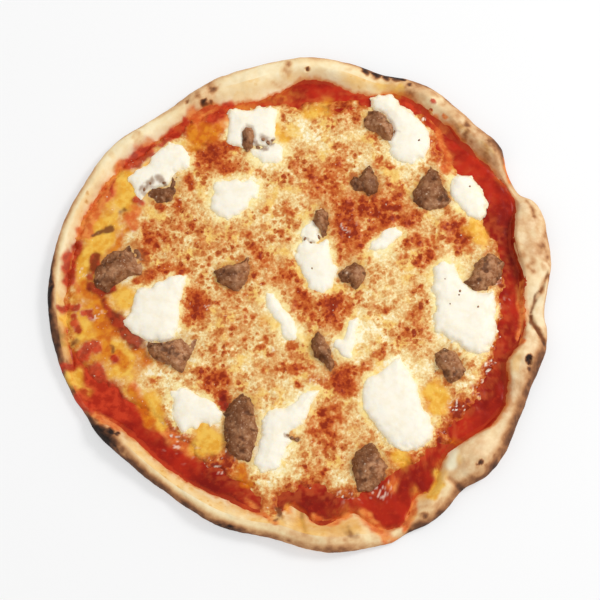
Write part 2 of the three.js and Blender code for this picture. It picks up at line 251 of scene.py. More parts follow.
def makeLights():
    for name in ("key", "fill"):
        light = lightSet[name]
        deselectAll()
        bpy.ops.object.light_add(type="AREA", location=light["place"])
        lamp = bpy.context.object
        lamp.name = name + "Light"
        lamp.rotation_euler = (-Vector(light["place"])).to_track_quat("-Z", "Y").to_euler()
        lamp.data.size = light["size"]
        lamp.data.energy = light["power"]
    world = bpy.data.worlds.new("studio")
    bpy.context.scene.world = world
    world.use_nodes = True
    sky = world.node_tree.nodes["Background"]
    sky.inputs["Color"].default_value = (1, 1, 1, 1)
    sky.inputs["Strength"].default_value = lightSet["sky"]
    view = bpy.context.scene.view_settings
    view.view_transform = "Standard"
    view.look = "None"


floorSet = {"size": 10, "drop": 0.2, "grey": (0.45, 0.45, 0.45, 1), "rough": 0.9, "glow": 0.5}


def makeFloor():
    deselectAll()
    bpy.ops.mesh.primitive_plane_add(size=floorSet["size"], location=(0, 0, -floorSet["drop"] * mm))
    floor = bpy.context.object
    floor.name = "floor"
    shade = Shade("paleFloor")
    shade.give("Base Color", floorSet["grey"])
    shade.give("Roughness", floorSet["rough"])
    shade.give("Emission Color", (1, 1, 1, 1))
    shade.give("Emission Strength", floorSet["glow"])
    floor.data.materials.append(shade.material)


# material helpers

def tone(red, green, blue):  # picture values from 0 to 255 as the linear colour a socket takes
    def linear(c):
        c = c / 255
        return c / 12.92 if c <= 0.04045 else ((c + 0.055) / 1.055) ** 2.4
    return (linear(red), linear(green), linear(blue), 1)


class Shade:  # a material's node tree, with the few steps that every finish here is made of
    def __init__(self, name):
        self.material = bpy.data.materials.new(name)
        self.material.use_nodes = True
        self.nodes = self.material.node_tree.nodes
        self.links = self.material.node_tree.links
        self.shader = self.nodes["Principled BSDF"]

    def painted(self, name):
        node = self.nodes.new("ShaderNodeAttribute")
        node.attribute_name = name
        return node.outputs["Fac"]

    def feed(self, socket, value):
        if isinstance(value, bpy.types.NodeSocket):
            self.links.new(value, socket)
        else:
            socket.default_value = value

    def give(self, name, value):  # to the shader itself
        self.feed(self.shader.inputs[name], value)

    def mix(self, factor, first, second):
        node = self.nodes.new("ShaderNodeMix")
        node.data_type = "RGBA"
        self.feed(node.inputs[0], factor)
        self.feed(node.inputs[6], first)
        self.feed(node.inputs[7], second)
        return node.outputs[2]

    def steps(self, value, low, high):  # stretches a value from low..high to 0..1
        node = self.nodes.new("ShaderNodeMapRange")
        node.interpolation_type = "SMOOTHSTEP"
        self.feed(node.inputs["Value"], value)
        node.inputs["From Min"].default_value = low
        node.inputs["From Max"].default_value = high
        return node.outputs["Result"]

    def span(self, value, low, high):  # turns 0..1 into low..high
        node = self.nodes.new("ShaderNodeMapRange")
        self.feed(node.inputs["Value"], value)
        node.inputs["To Min"].default_value = low
        node.inputs["To Max"].default_value = high
        return node.outputs["Result"]

    def reckon(self, operation, first, second):
        node = self.nodes.new("ShaderNodeMath")
        node.operation = operation
        self.links.new(first, node.inputs[0])
        self.links.new(second, node.inputs[1])
        return node.outputs["Value"]

    def sum(self, first, second):
        return self.reckon("ADD", first, second)

    def times(self, first, second):
        return self.reckon("MULTIPLY", first, second)

    def ramp(self, value, stops):  # colours along 0..1
        node = self.nodes.new("ShaderNodeValToRGB")
        elements = node.color_ramp.elements
        for k, (place, colour) in enumerate(stops):
            if k == 0:
                element = elements[0]
            elif k == len(stops) - 1:
                element = elements[len(elements) - 1]
            else:
                element = elements.new(place)
            element.position = place
            element.color = tone(*colour)
        self.links.new(value, node.inputs["Fac"])
        return node.outputs["Color"]

    def grain(self, size, detail=3.0, rough=0.55):  # size in millimetres
        node = self.nodes.new("ShaderNodeGroup")
        node.node_tree = grainGroup()
        node.inputs["Scale"].default_value = 1 / (size * mm)
        node.inputs["Detail"].default_value = detail
        node.inputs["Roughness"].default_value = rough
        return node.outputs["Value"]

    def blisters(self, size):  # small separate spots, size is the room each has in millimetres
        node = self.nodes.new("ShaderNodeGroup")
        node.node_tree = blisterGroup()
        node.inputs["Scale"].default_value = 1 / (size * mm)
        return node.outputs["Value"]

    def mottled(self, size, detail, low, high, first, second):  # two colours in soft grain
        return self.mix(self.steps(self.grain(size, detail), low, high), tone(*first), tone(*second))

    def covered(self, colour, name, most, over):  # another colour laid over where the name is painted
        return self.mix(self.span(self.painted(name), 0, most), colour, over)

    def inked(self, colour):  # the drawn strokes over a colour
        for kind, tones in inkTones.items():
            ink = self.mottled(5, 3, 0.38, 0.62, *tones) if len(tones) == 2 else tone(*tones[0])
            colour = self.mix(self.painted(kind + "Ink"), colour, ink)
        return colour

    def bump(self, height, strength, distance):
        node = self.nodes.new("ShaderNodeBump")
        self.feed(node.inputs["Strength"], strength)
        node.inputs["Distance"].default_value = distance * mm
        self.links.new(height, node.inputs["Height"])
        self.links.new(node.outputs["Normal"], self.shader.inputs["Normal"])


def startGroup(name, numbers):  # a node group with these inputs and one value coming out
    group = bpy.data.node_groups.new(name, "ShaderNodeTree")
    for socket, start in numbers.items():
        number = group.interface.new_socket(socket, in_out="INPUT", socket_type="NodeSocketFloat")
        number.default_value = start
    group.interface.new_socket("Value", in_out="OUTPUT", socket_type="NodeSocketFloat")
    return group, group.nodes.new("NodeGroupInput"), group.nodes.new("NodeGroupOutput")


def grainGroup():  # uneven grain on the piece's own coordinates
    name = "unevenGrain"
    if name in bpy.data.node_groups:
        return bpy.data.node_groups[name]
    numbers = {"Scale": 300.0, "Detail": 3.0, "Roughness": 0.55}
    group, entry, leave = startGroup(name, numbers)
    place = group.nodes.new("ShaderNodeTexCoord")
    noise = group.nodes.new("ShaderNodeTexNoise")
    group.links.new(place.outputs["Object"], noise.inputs["Vector"])
    for socket in numbers:
        group.links.new(entry.outputs[socket], noise.inputs[socket])
    group.links.new(noise.outputs["Fac"], leave.inputs["Value"])
    return group


def blisterGroup():  # uneven spots of all sizes, with gaps between them
    name = "blisterSpots"
    if name in bpy.data.node_groups:
        return bpy.data.node_groups[name]
    group, entry, leave = startGroup(name, {"Scale": 250.0})
    kinds = (
        "ShaderNodeTexCoord", "ShaderNodeTexNoise", "ShaderNodeVectorMath", "ShaderNodeTexVoronoi",
        "ShaderNodeSeparateColor", "ShaderNodeMapRange", "ShaderNodeMath", "ShaderNodeMapRange",
    )
    place, noise, shake, cells, parts, radius, inside, edge = [group.nodes.new(kind) for kind in kinds]
    noise.inputs["Scale"].default_value = 520
    noise.inputs["Detail"].default_value = 2
    shake.operation = "MULTIPLY_ADD"
    shake.inputs[1].default_value = (0.0022, 0.0022, 0)
    cells.voronoi_dimensions = "2D"
    radius.inputs["From Min"].default_value = 0.3
    radius.inputs["To Min"].default_value = -0.1
    radius.inputs["To Max"].default_value = 0.46
    inside.operation = "SUBTRACT"
    edge.inputs["From Min"].default_value = -0.05
    edge.inputs["From Max"].default_value = 0.09
    for given, taken in (
        (place.outputs["Object"], noise.inputs["Vector"]),
        (noise.outputs["Color"], shake.inputs[0]),
        (place.outputs["Object"], shake.inputs[2]),
        (shake.outputs["Vector"], cells.inputs["Vector"]),
        (entry.outputs["Scale"], cells.inputs["Scale"]),
        (cells.outputs["Color"], parts.inputs["Color"]),
        (parts.outputs["Red"], radius.inputs["Value"]),
        (radius.outputs["Result"], inside.inputs[0]),
        (cells.outputs["Distance"], inside.inputs[1]),
        (inside.outputs["Value"], edge.inputs["Value"]),
        (edge.outputs["Result"], leave.inputs["Value"]),
    ):
        group.links.new(given, taken)
    return group


def spotField(x, y, patches, height):  # soft round patches: u, v, radius in picture points, amount
    total = np.zeros(len(x))
    for u, v, radius, amount in patches:
        px, py = seenAt(u, v, height)
        reach = radius * pointSize
        close = np.nonzero((np.abs(x - px) < 2 * reach) & (np.abs(y - py) < 2 * reach))[0]
        near = ((x[close] - px) ** 2 + (y[close] - py) ** 2) / reach ** 2
        total[close] = np.maximum(total[close], amount * np.exp(-near ** 1.5))
    return total


def stretchAway(x, y, a, b):  # distance to the straight stretch from a to b
    (ax, ay), (bx, by) = a, b
    t = ((x - ax) * (bx - ax) + (y - ay) * (by - ay)) / ((bx - ax) ** 2 + (by - ay) ** 2)
    t = np.clip(t, 0, 1)
    return np.hypot(x - ax - t * (bx - ax), y - ay - t * (by - ay))


def alongLine(x, y, line, height):  # distance to a line of picture points
    places = [seenAt(u, v, height) for u, v in line]
    return np.min([stretchAway(x, y, a, b) for a, b in zip(places[:-1], places[1:])], axis=0)


def withinBox(x, y, places, margin):  # which points lie in the box round these places
    low = np.min(places, axis=0) - margin
    high = np.max(places, axis=0) + margin
    return np.nonzero((x > low[0]) & (x < high[0]) & (y > low[1]) & (y < high[1]))[0]


def insideOutline(x, y, corners):  # distance inside a closed outline, negative outside it
    away = np.full(len(x), 1e9)
    within = np.zeros(len(x), bool)
    for (ax, ay), (bx, by) in zip(corners, corners[1:] + corners[:1]):
        away = np.minimum(away, stretchAway(x, y, (ax, ay), (bx, by)))
        within ^= ((ay > y) != (by > y)) & (x < ax + (y - ay) / (by - ay + 1e-9) * (bx - ax))
    return np.where(within, away, -away)


def insideAny(x, y, outlines, height):  # the same for the nearest of several outlines in picture points
    furthest = 20.0  # millimetres outside
    best = np.full(len(x), -furthest)
    for outline in outlines:
        corners = [seenAt(u, v, height) for u, v in outline]
        close = withinBox(x, y, corners, furthest)
        best[close] = np.maximum(best[close], insideOutline(x[close], y[close], corners))
    return best


# strokes drawn over the crust, the sauce and the cheese alike

strokes = {  # picture points along each, half-width in picture points, amount
    "red": [
        ([(227, 104), (219, 112), (211, 119)], 5, 0.8), ([(186, 121), (183, 131)], 3.6, 0.9),
        ([(175, 132), (166, 138), (160, 143)], 4, 0.9), ([(152, 144), (143, 151)], 4, 0.7),
        ([(147, 152), (139, 157), (131, 163)], 6, 1.1),
        ([(116, 178), (112, 190), (106, 200)], 1.8, 0.5), ([(136, 199), (141, 204)], 3.2, 0.8),
        ([(405, 99), (410, 104), (416, 110)], 3.2, 0.9), ([(430, 105), (431, 106)], 1.8, 0.9),
        ([(79, 244), (73, 254), (69, 266), (69, 280)], 4.6, 1),
        ([(62, 310), (70, 308), (79, 309)], 3, 1.1), ([(75, 318), (77, 328)], 3, 1.1),
        ([(84, 314), (90, 313), (91, 319)], 2.2, 0.9), ([(78, 358), (86, 351), (95, 344)], 5, 1.1),
        ([(64, 366), (70, 367)], 4, 1.1), ([(113, 358), (114, 361)], 2.6, 0.9),
        ([(94, 376), (100, 386), (110, 395)], 9, 1.1), ([(82, 398), (90, 403), (99, 405)], 7, 1.1),
        ([(112, 402), (122, 412)], 8, 1.1),
    ],
    "wine": [
        # the first two are painted shadow beside and below the sausage; the rest are dark red sauce
        ([(96, 256), (92, 268), (92, 280)], 3.5, 0.8), ([(92, 286), (104, 292), (112, 288)], 4.4, 0.9),
        ([(116, 318), (123, 328), (134, 340)], 7, 1), ([(104, 300), (112, 312)], 3, 0.6),
        ([(224, 398), (226, 408)], 3.4, 0.8),
    ],
    "rust": [
        ([(199, 118), (206, 125)], 4.5, 0.7),
        ([(195, 155), (206, 157), (216, 151), (224, 146), (236, 144)], 5, 0.9),
        ([(189, 177), (190, 184)], 3.2, 0.7), ([(230, 167), (224, 171)], 3.4, 0.8),
        ([(145, 224), (148, 236)], 3, 0.55), ([(159, 206), (163, 207)], 3.2, 0.6),
        ([(177, 203), (179, 211)], 3.2, 0.65), ([(161, 234), (164, 237)], 2.4, 0.5),
        ([(141, 252), (143, 260)], 3, 0.7), ([(188, 222), (193, 228)], 2.6, 0.6),
        ([(136, 283), (146, 277), (158, 270), (170, 268), (182, 272)], 3.6, 0.5),
        ([(296, 343), (291, 345)], 3.6, 1.1), ([(190, 298), (196, 304), (198, 312)], 8, 0.9),
        ([(222, 398), (226, 404)], 5, 1), ([(340, 376), (348, 388)], 6, 0.8),
    ],
    "gold": [
        ([(124, 178), (130, 190), (124, 204)], 6.5, 1.1), ([(112, 214), (104, 222), (98, 228)], 4, 0.8),
        ([(106, 237), (98, 246), (92, 252)], 6, 1.1), ([(86, 256), (84, 270), (88, 280)], 6.5, 1.1),
        ([(122, 294), (128, 300)], 6, 1), ([(66, 318), (84, 324), (80, 333)], 5, 0.8),
        ([(109, 346), (122, 347), (130, 358), (126, 371), (114, 373)], 4, 0.9),
        ([(74, 376), (80, 384), (86, 390)], 6, 1), ([(126, 366), (130, 378)], 4, 0.7),
        ([(98, 336), (90, 338)], 4, 0.7), ([(205, 434), (213, 444), (200, 448)], 7, 1),
        ([(150, 400), (156, 412), (160, 422)], 6, 0.8), ([(428, 392), (440, 396), (438, 408)], 6, 0.9),
        ([(398, 455), (404, 463)], 4.5, 0.9), ([(476, 222), (482, 238)], 5, 0.7),
        ([(280, 128), (284, 140)], 5, 0.6), ([(310, 112), (324, 106)], 7, 0.6),
        ([(380, 85), (391, 88), (399, 91)], 5, 0.35), ([(288, 508), (295, 513), (300, 523)], 5, 0.3),
        ([(436, 472), (440, 484), (432, 494)], 3.4, 0.7), ([(284, 430), (282, 436)], 3, 0.5),
    ],
    "orange": [
        ([(122, 166), (113, 184), (102, 200), (92, 216), (83, 232)], 5, 1),
        ([(134, 212), (130, 220), (133, 227)], 4.5, 0.8), ([(84, 226), (92, 236)], 4, 0.7),
        ([(76, 262), (76, 280), (80, 296)], 3.4, 0.5), ([(94, 414), (106, 422), (118, 428)], 3.6, 0.8),
        ([(216, 112), (222, 124), (212, 132)], 6, 0.8), ([(286, 506), (290, 509)], 2.4, 0.6),
        ([(364, 513), (374, 526), (384, 536), (394, 540)], 4, 0.7),
        ([(416, 504), (412, 518), (404, 530)], 2.6, 0.8),
        ([(434, 118), (438, 130), (443, 144), (450, 160)], 2.8, 0.9),
        ([(444, 118), (446, 120)], 1.8, 0.8), ([(520, 284), (522, 312), (520, 342)], 2.6, 0.7),
        ([(505, 160), (512, 180)], 2, 0.7), ([(396, 478), (392, 488)], 4, 0.7),
        ([(150, 142), (142, 149)], 5, 0.7), ([(195, 112), (203, 120), (196, 128)], 5, 0.7),
        ([(134, 386), (140, 400), (148, 416)], 4, 0.7), ([(450, 155), (444, 170)], 4, 0.6),
        ([(164, 430), (176, 442), (190, 452)], 4, 0.7), ([(246, 500), (262, 514), (276, 522)], 3, 0.6),
        ([(312, 516), (330, 524), (350, 514)], 3, 0.6),
    ],
    "amber": [
        ([(192, 132), (200, 141), (206, 130)], 6, 0.8), ([(212, 138), (220, 128)], 5, 0.6),
        ([(98, 300), (104, 316), (105, 334)], 7.5, 1), ([(106, 344), (108, 352)], 5, 0.8),
        ([(126, 232), (118, 246), (112, 252)], 4, 0.6), ([(118, 357), (122, 362)], 6, 0.9),
        ([(138, 352), (146, 362)], 6, 0.6), ([(132, 392), (142, 405), (150, 420)], 4, 0.7),
        ([(240, 470), (246, 482)], 4, 0.7), ([(452, 438), (456, 446)], 2.6, 0.6),
        ([(84, 284), (88, 296)], 4, 0.7),
    ],
    "brown": [
        ([(94, 234), (101, 231), (107, 228)], 2, 0.7), ([(106, 228), (110, 227)], 2.2, 1),
        ([(119, 213), (124, 211)], 2.6, 0.6), ([(113, 346), (114, 352)], 1.2, 0.5),
        ([(72, 344), (76, 341)], 2.6, 0.6), ([(277, 508), (279, 514), (276, 520)], 1.8, 0.7),
        ([(348, 532), (354, 536)], 3.6, 0.4), ([(286, 435), (292, 437), (298, 439)], 1.6, 0.7),
        ([(459, 289), (461, 295)], 1.4, 0.4),
        # these two: painted shade along the fold of the flap
        ([(549, 274), (543, 284), (537, 297), (531, 311)], 1.3, 0.45),
        ([(531, 315), (536, 327), (543, 341)], 1.6, 0.6),
    ],
}
inkTones = {
    "orange": ((238, 144, 72), (218, 102, 44)), "gold": ((246, 196, 84), (234, 166, 50)),
    "amber": ((224, 134, 24), (206, 100, 16)), "red": ((206, 64, 34), (172, 40, 20)),
    "wine": ((168, 44, 22), (122, 24, 10)), "brown": ((124, 68, 32),),
}


def inkAt(x, y, kind):  # how strongly the strokes of one kind cover each place
    stirredX, stirredY = stirred(x, y, 2.2, 6, 85)
    total = np.zeros(len(x))
    for line, wide, amount in strokes[kind]:
        places = [seenAt(u, v, levels["sauce"]) for u, v in line]
        near = withinBox(stirredX, stirredY, places, 2 * wide)
        away = alongLine(stirredX[near], stirredY[near], line, levels["sauce"]) / (wide * 0.85)
        total[near] = np.maximum(total[near], amount * np.exp(-away ** 2))
    uneven = lumps(flat(x, y), 5, 95, 3)
    return 0.92 * between(0.06, 0.62, total * (1 + 0.6 * uneven))


def paintInk(piece, x, y):
    for kind in inkTones:
        paint(piece, kind + "Ink", inkAt(x, y, kind))


# crust

crustSet = {
    "sectors": 900, "under": 10, "outer": 26, "slope": 50, "widest": 0.42,
    "measured": 128, "hub": 30, "rimFrom": 60,  # directions in which the solid is measured, and where
    "bakeAndShade": {  # how dark each kind of place gets, by browning and by painted shade
        "toastAndShade": 0.9, "edge": 0.68, "char": 1.1, "oilDots": 0.75, "creaseShade": 0.45, "under": 0.95,
    },
    "fullBake": 1.6,  # as dark as the colours go
    "steep": [  # angle, spread, how steep inside
        (10, 13, 2.6), (318, 10, 1.4), (345, 8, 1.2), (333, 8, 0.8),
    ],
    "reshape": [(27.5, 5, 3.4)],  # angle, spread, how much further the rim reaches there
    "swells": [  # angle, distance, radius, height
        (42.5, 152, 5.5, 1.5), (50.5, 154, 6, 1.2), (58, 154, 5, 0.9), (36, 155, 4, 0.8),
        (12, 151, 9, 1), (98, 148, 9, 0.8), (104, 146, 8, 0.7), (150, 152, 6, 0.5), (225, 146, 6, 0.8),
        (234, 146, 6, 0.7), (246, 147, 7, 0.7), (275, 152, 7, 0.9), (283, 150, 5, 0.7),
        (302, 158, 6, 0.8), (318, 149, 9, 1.2), (328, 153, 7, 0.8), (343, 143, 6, 1.8),
        (337, 152, 6, 0.9), (38.8, 153, 3.4, -1.3), (46.8, 150, 4, -1.8), (112.5, 147, 5, -1),
        (308.5, 151, 4, -1.1), (350, 152, 5, -1.3), (4, 152, 4, -0.8), (19, 155, 4, -0.7),
        (80, 151, 4, -0.6), (268, 149, 4, -0.7), (359, 156, 5, 1.4), (355, 156, 4, 1),
    ],
    "drip": [(455, 438), (453, 448), (452, 458), (451, 466)],
    "creases": [  # picture points along each fold line, width, depth
        ([(549, 274), (543, 282), (540, 291), (535, 300),
          (530, 312), (533, 320), (538, 328), (545, 343)], 1.4, 2.2),
        ([(527, 200), (531, 206), (534, 216)], 1.6, 0.8),
        ([(463, 489), (456, 483), (449, 478)], 1.8, 1.2),
        ([(414, 534), (409, 528), (404, 524)], 1.4, 1.2),
        ([(305, 531), (303, 524), (302, 516)], 1.4, 0.9),
    ],
    "holes": [  # picture point, radius, depth
        (307, 70, 1, 2), (530, 360, 1.2, 3), (529.5, 364, 1.4, 3), (205, 104, 1.8, 1.6),
        (209, 102, 1.5, 1.4), (280, 517, 1.5, 1.4), (187, 102, 1.2, 1), (477, 464, 1.4, 1.2),
        (482, 461, 1.2, 1), (86, 201, 1.4, 0.8),
    ],
    "marks": [  # picture point, radius in picture points, how dark
        (528, 359, 3.4, 1.7), (529, 363, 3.8, 1.7), (533, 373, 7, 1), (536, 381, 6, 0.9),
        (528, 386, 5, 0.75), (523, 373, 5, 0.7), (520, 383, 5, 0.7), (516, 393, 5, 0.6),
        # the marks at 535, 327 and 540, 337 are painted shadow beside the fold; the rest are charred and
        # browned spots
        (511, 401, 5, 0.55), (515, 360, 3, 0.4), (535, 327, 4.5, 0.7),
        (540, 337, 4.5, 0.75), (545, 258, 6, 0.8), (547, 248, 5, 0.7), (544, 268, 5, 0.65),
        (533, 222, 2, 0.6), (480, 463, 3, 1.4), (484, 466, 3, 0.8), (307, 70, 1.8, 1.05),
        (205, 104, 4, 1.5), (210, 101, 3, 1.3), (187, 102, 2.4, 1), (97, 428, 5, 1.6),
        (103, 431, 6, 1.7), (110, 432, 5, 1.6), (117, 433, 3.4, 1.4), (96, 420, 4, 1.2),
        (75, 385, 5, 1.3), (71, 378, 4, 1.2), (64, 334, 6, 1), (62, 342, 5, 0.9), (86, 201, 2, 0.8),
        (348, 533, 4, 0.7), (356, 537, 4, 0.6), (282, 516, 3.6, 0.8), (288, 511, 3, 0.6),
        (366, 70, 5, 1.4), (376, 72, 6, 1.6), (386, 75, 6, 1.6), (397, 79, 5, 1.4), (410, 84, 4, 1.1),
        (500, 150, 5, 0.9), (506, 158, 4, 0.8), (440, 96, 4, 0.6), (466, 492, 5, 1.2),
        (478, 484, 4, 0.9), (416, 532, 4, 1),
    ],
    "bubbles": [  # picture point, radius, height
        (452, 127, 7, 1.2), (490, 142, 6, 1.2), (200, 97, 8, 1.6), (292, 514, 7, 1.4), (118, 445, 6, 1.6),
        (104, 430, 5, 1.4), (476, 466, 9, 1.2), (345, 76, 9, 0.8), (255, 82, 9, 0.7), (525, 352, 8, 1.4),
        (430, 98, 6, 0.9), (170, 470, 6, 0.8), (190, 488, 6, 0.8), (236, 510, 6, 0.7), (150, 140, 6, 0.8),
    ],
}

rimPaint = {  # angle, distance from the middle, half-length along, half-width across, amount
    # browned patches, and painted shade in the folds, on the inner slopes and along the flap
    "toastAndShade": [
        (6, 158, 5, 2, 0.7), (17, 159.5, 3, 1.5, 0.6), (0.5, 153, 4, 2, 0.6), (12, 144, 8, 2, 0.35),
        (21.5, 156, 2.5, 6, 0.4), (35.5, 160, 2, 2.5, 1.2), (41, 160.5, 9, 1.5, 1),
        (34, 155, 3, 5, 0.5), (44.5, 148, 4, 5, 1), (46.5, 146.5, 4, 3, 1.1), (51, 159, 5, 3, 0.5),
        (55, 158.5, 4, 2, 0.5), (58, 161, 8, 1.5, 0.7), (61.5, 156, 5, 3, 0.7), (59, 149, 4, 2.5, 0.5),
        (65, 160, 5, 1.5, 0.9), (77, 154, 6, 2.5, 0.4), (93, 150.5, 4, 8, 0.72),
        (85, 158.5, 6, 1.2, 0.4), (94.5, 147, 2.5, 6, 0.45), (113, 148, 5, 7, 1), (112, 152, 3, 3, 0.7),
        (117, 146, 4, 6, 0.8), (119, 151, 4, 2, 0.6), (124, 146, 5, 5, 0.25), (135, 148, 3, 5, 0.6),
        (143, 152, 3, 4, 0.35), (144.5, 144, 4, 2.5, 0.9), (154.5, 150.5, 1.5, 1.5, 0.8),
        (192, 153, 9, 4, 0.9), (190, 156, 6, 3, 1.1), (193, 145, 3, 3, 0.6), (213, 150, 4, 4, 1),
        (226, 149, 4, 3, 0.9), (231, 148, 2, 1.5, 0.9), (233.5, 147.5, 2, 1.5, 0.9),
        (236, 147, 1.5, 1.5, 0.6), (237, 150, 8, 1.3, 0.8), (252, 154, 14, 2, 1.3),
        (259, 154.5, 6, 1.5, 0.6), (262, 143, 2, 1.5, 0.9), (264.5, 146.5, 2, 1.2, 0.8),
        (263, 145, 1.5, 1.5, 0.8), (280, 160, 10, 3, 0.35), (280, 155, 4, 4, 0.5),
        (298, 160, 3, 3.5, 1), (303, 161, 6, 3, 0.7), (307, 157, 5, 4, 0.6), (313.5, 161, 5, 3, 0.8),
        (319, 160, 9, 3, 0.9), (323, 159, 5, 3, 0.6), (336, 154, 8, 3, 0.4), (341, 155, 6, 3.5, 0.9),
        (345, 156, 3, 2.5, 0.8), (349, 154, 5, 2.5, 0.6), (352, 150, 3, 2, 0.5),
        (356, 150, 3, 1.5, 0.35), (334, 145, 6, 3, 0.4), (350, 152, 5, 4, 0.75), (15, 158, 14, 4, 0.5),
        (5, 151, 3, 5, 0.2), (63, 154, 10, 5, 0.75), (57, 157, 8, 3, 0.6), (38.8, 153, 3.5, 5, 0.85),
        (46.8, 149, 4, 5, 1), (33.5, 152, 4, 3, 0.6), (338, 152, 8, 4, 0.85), (316, 156, 12, 3.5, 0.8),
        (329, 155, 10, 3, 0.7), (302, 158, 8, 4, 0.7), (188, 154, 12, 3, 1), (198, 152, 8, 3, 0.8),
        (112.5, 147, 4, 6, 0.8), (268, 150, 5, 4, 0.5), (80, 152, 3, 5, 0.15), (20, 152, 2.5, 6, 0.45),
        (89, 146.5, 16, 2.5, 0.25), (96, 141, 8, 2.5, 0.45), (272, 152, 8, 2, 0.45),
        (284, 147, 5, 3, 0.55), (282, 153, 3, 5, 0.5), (6.5, 147.5, 9, 6, 0.78), (53, 158, 5, 4, 0.6),
        (46.3, 153.5, 6, 4, 0.9), (38.3, 156, 6, 3.5, 0.95),
    ],
    "char": [
        (68, 158.5, 12, 2.2, 1.9), (75, 157.5, 8, 1.6, 1.4), (116.5, 141, 2.2, 2.2, 1.3),
        (180, 158.5, 22, 3, 1.5), (205, 154.5, 6, 1.5, 1.3), (216, 151, 7, 5, 1.5),
        (222, 152, 6, 2, 1.3), (340.5, 150.5, 2.5, 2, 1.2), (343.5, 150, 1.5, 1.5, 0.8),
        (36, 160.5, 3, 1.5, 1), (314.5, 154, 1.4, 1.4, 0.9),
    ],
    "oil": [
        (70, 150, 7, 7, 0.8), (76, 147, 10, 6, 0.9), (88, 143.5, 16, 3, 0.6), (104, 143, 14, 9, 0.5),
        (158, 149.5, 18, 3, 0.5), (173, 149.5, 14, 3, 0.5), (183, 152.5, 10, 3, 0.8),
        (203, 148, 6, 8, 1), (226, 141, 10, 5, 0.8), (240, 141, 16, 5, 0.8), (256, 141, 12, 5, 0.8),
        (270, 148, 10, 7, 0.9), (279, 149, 10, 7, 0.9), (288, 160, 4, 6, 1), (302, 145, 12, 6, 0.5),
        (311.5, 141, 4, 6, 0.9), (341, 141, 7, 4, 0.5), (185, 150, 12, 4, 1), (193, 149, 10, 4, 0.9),
        (210, 146, 6, 6, 0.9), (176, 149, 10, 3, 0.7), (232, 143, 16, 5, 0.9), (248, 144, 16, 5, 0.9),
        (74, 150, 7, 6, 0.9), (260, 146, 8, 6, 0.8), (264, 148, 10, 8, 1), (273, 150, 12, 8, 1),
        (282, 151, 8, 8, 1), (300, 146, 6, 5, 0.9), (306, 144, 5, 4, 0.9), (296, 156, 4, 7, 0.8),
        (76, 148, 10, 6, 0.95), (46.3, 153.5, 6, 5, 0.5), (38.3, 155.5, 6, 5, 0.5),
    ],
    "edge": [  # angle, how far in the browning and painted shade of the outer edge go, its amount, browning all over
        (355, 3, 0.15, 0.08), (0, 4, 0.3, 0.2), (5, 5, 0.45, 0.2), (9, 8, 0.75, 0.55),
        (14, 7, 0.7, 0.58), (21, 5, 0.6, 0.52), (30, 3, 0.8, 0.4), (36, 7, 1.12, 0.6),
        (46, 9, 0.78, 0.55), (55, 3, 0.85, 0.3), (62, 6, 1, 0.68), (69, 3.4, 1.25, 0.2),
        (80, 4, 0.7, 0.12), (90, 6, 0.55, 0.12), (100, 2, 0.5, 0.03), (112, 8, 0.65, 0.32),
        (120, 7, 0.78, 0.4), (131, 3, 0.45, 0.06), (140, 2.5, 0.4, 0.12), (150, 5, 0.68, 0.25),
        (160, 4, 0.72, 0.15), (168, 4, 0.95, 0.18), (175, 4.5, 1.35, 0.2), (182, 5, 1.6, 0.25),
        (190, 9, 1.35, 0.5), (199, 4, 1.2, 0.5), (208, 3, 0.9, 0.5), (213, 6, 1.4, 0.6),
        (217, 9, 1.7, 0.7), (223, 6.5, 1.4, 0.3), (231, 4.6, 1.1, 0.25), (240, 4.2, 1.1, 0.14),
        (250, 4.6, 1.35, 0.08), (259, 4.2, 1.05, 0.25), (269, 4.5, 0.85, 0.38), (280, 6, 1, 0.45),
        (289, 3, 0.4, 0.3), (297, 6, 1.2, 0.45), (306, 6.5, 0.95, 0.25), (314, 8.5, 1.05, 0.45),
        (322, 8.5, 1.05, 0.35), (331, 8.5, 0.95, 0.42), (340, 10.5, 1.1, 0.5), (348, 8.5, 0.9, 0.42),
    ],
    "flour": [
        (15, 152, 50, 12, 1), (40, 154, 50, 12, 0.8), (58, 155, 25, 9, 0.5), (318, 150, 30, 12, 0.8),
        (335, 150, 40, 12, 1), (354, 150, 40, 12, 1), (112, 146, 20, 8, 0.4),
    ],
}


def turnFrom(angle, at):  # the shorter way round, from -180 to 180
    return (angle - at + 540) % 360 - 180


def measureRim():  # middle and base of the solid, and the rim's reach, width, height and crown all round
    count = crustSet["measured"]
    points = readPoints(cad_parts["crust"])
    hub = points[np.hypot(points[:, 0], points[:, 1]) < crustSet["hub"]]
    middle = hub[:, :2].mean(axis=0)
    away = points[:, :2] - middle
    far = np.hypot(away[:, 0], away[:, 1])
    turn = np.degrees(np.arctan2(away[:, 1], away[:, 0]))
    sector = np.round(turn / 360 * count).astype(int) % count
    rows = []
    for k in range(count):
        own = (sector == k) & (far > crustSet["rimFrom"])
        top = np.argmax(np.where(own, points[:, 2], -1))
        reach = far[own].max()
        rows.append((reach, reach - far[own].min(), points[top, 2], reach - far[top]))
    rows = np.array(rows).T
    for at, spread, by in crustSet["reshape"]:
        rows[0] = rows[0] + by * np.exp(-(turnFrom(np.arange(count) * 360 / count, at) / spread) ** 4)
    rows[3] = (np.roll(rows[3], 1) + rows[3] + np.roll(rows[3], -1)) / 3
    return middle, hub[:, 2].max(), rows


rimMiddle, rimBase, rimRows = measureRim()


def roundTurn(values, angle):  # smooth curve through values evenly spaced round the turn
    at = angle / 360 * len(values)
    k = np.floor(at).astype(int)
    t = at - k
    a, b, c, d = (values[(k + i) % len(values)] for i in (-1, 0, 1, 2))
    return b + 0.5 * t * (c - a + t * (2 * a - 5 * b + 4 * c - d + t * (3 * (b - c) + d - a)))


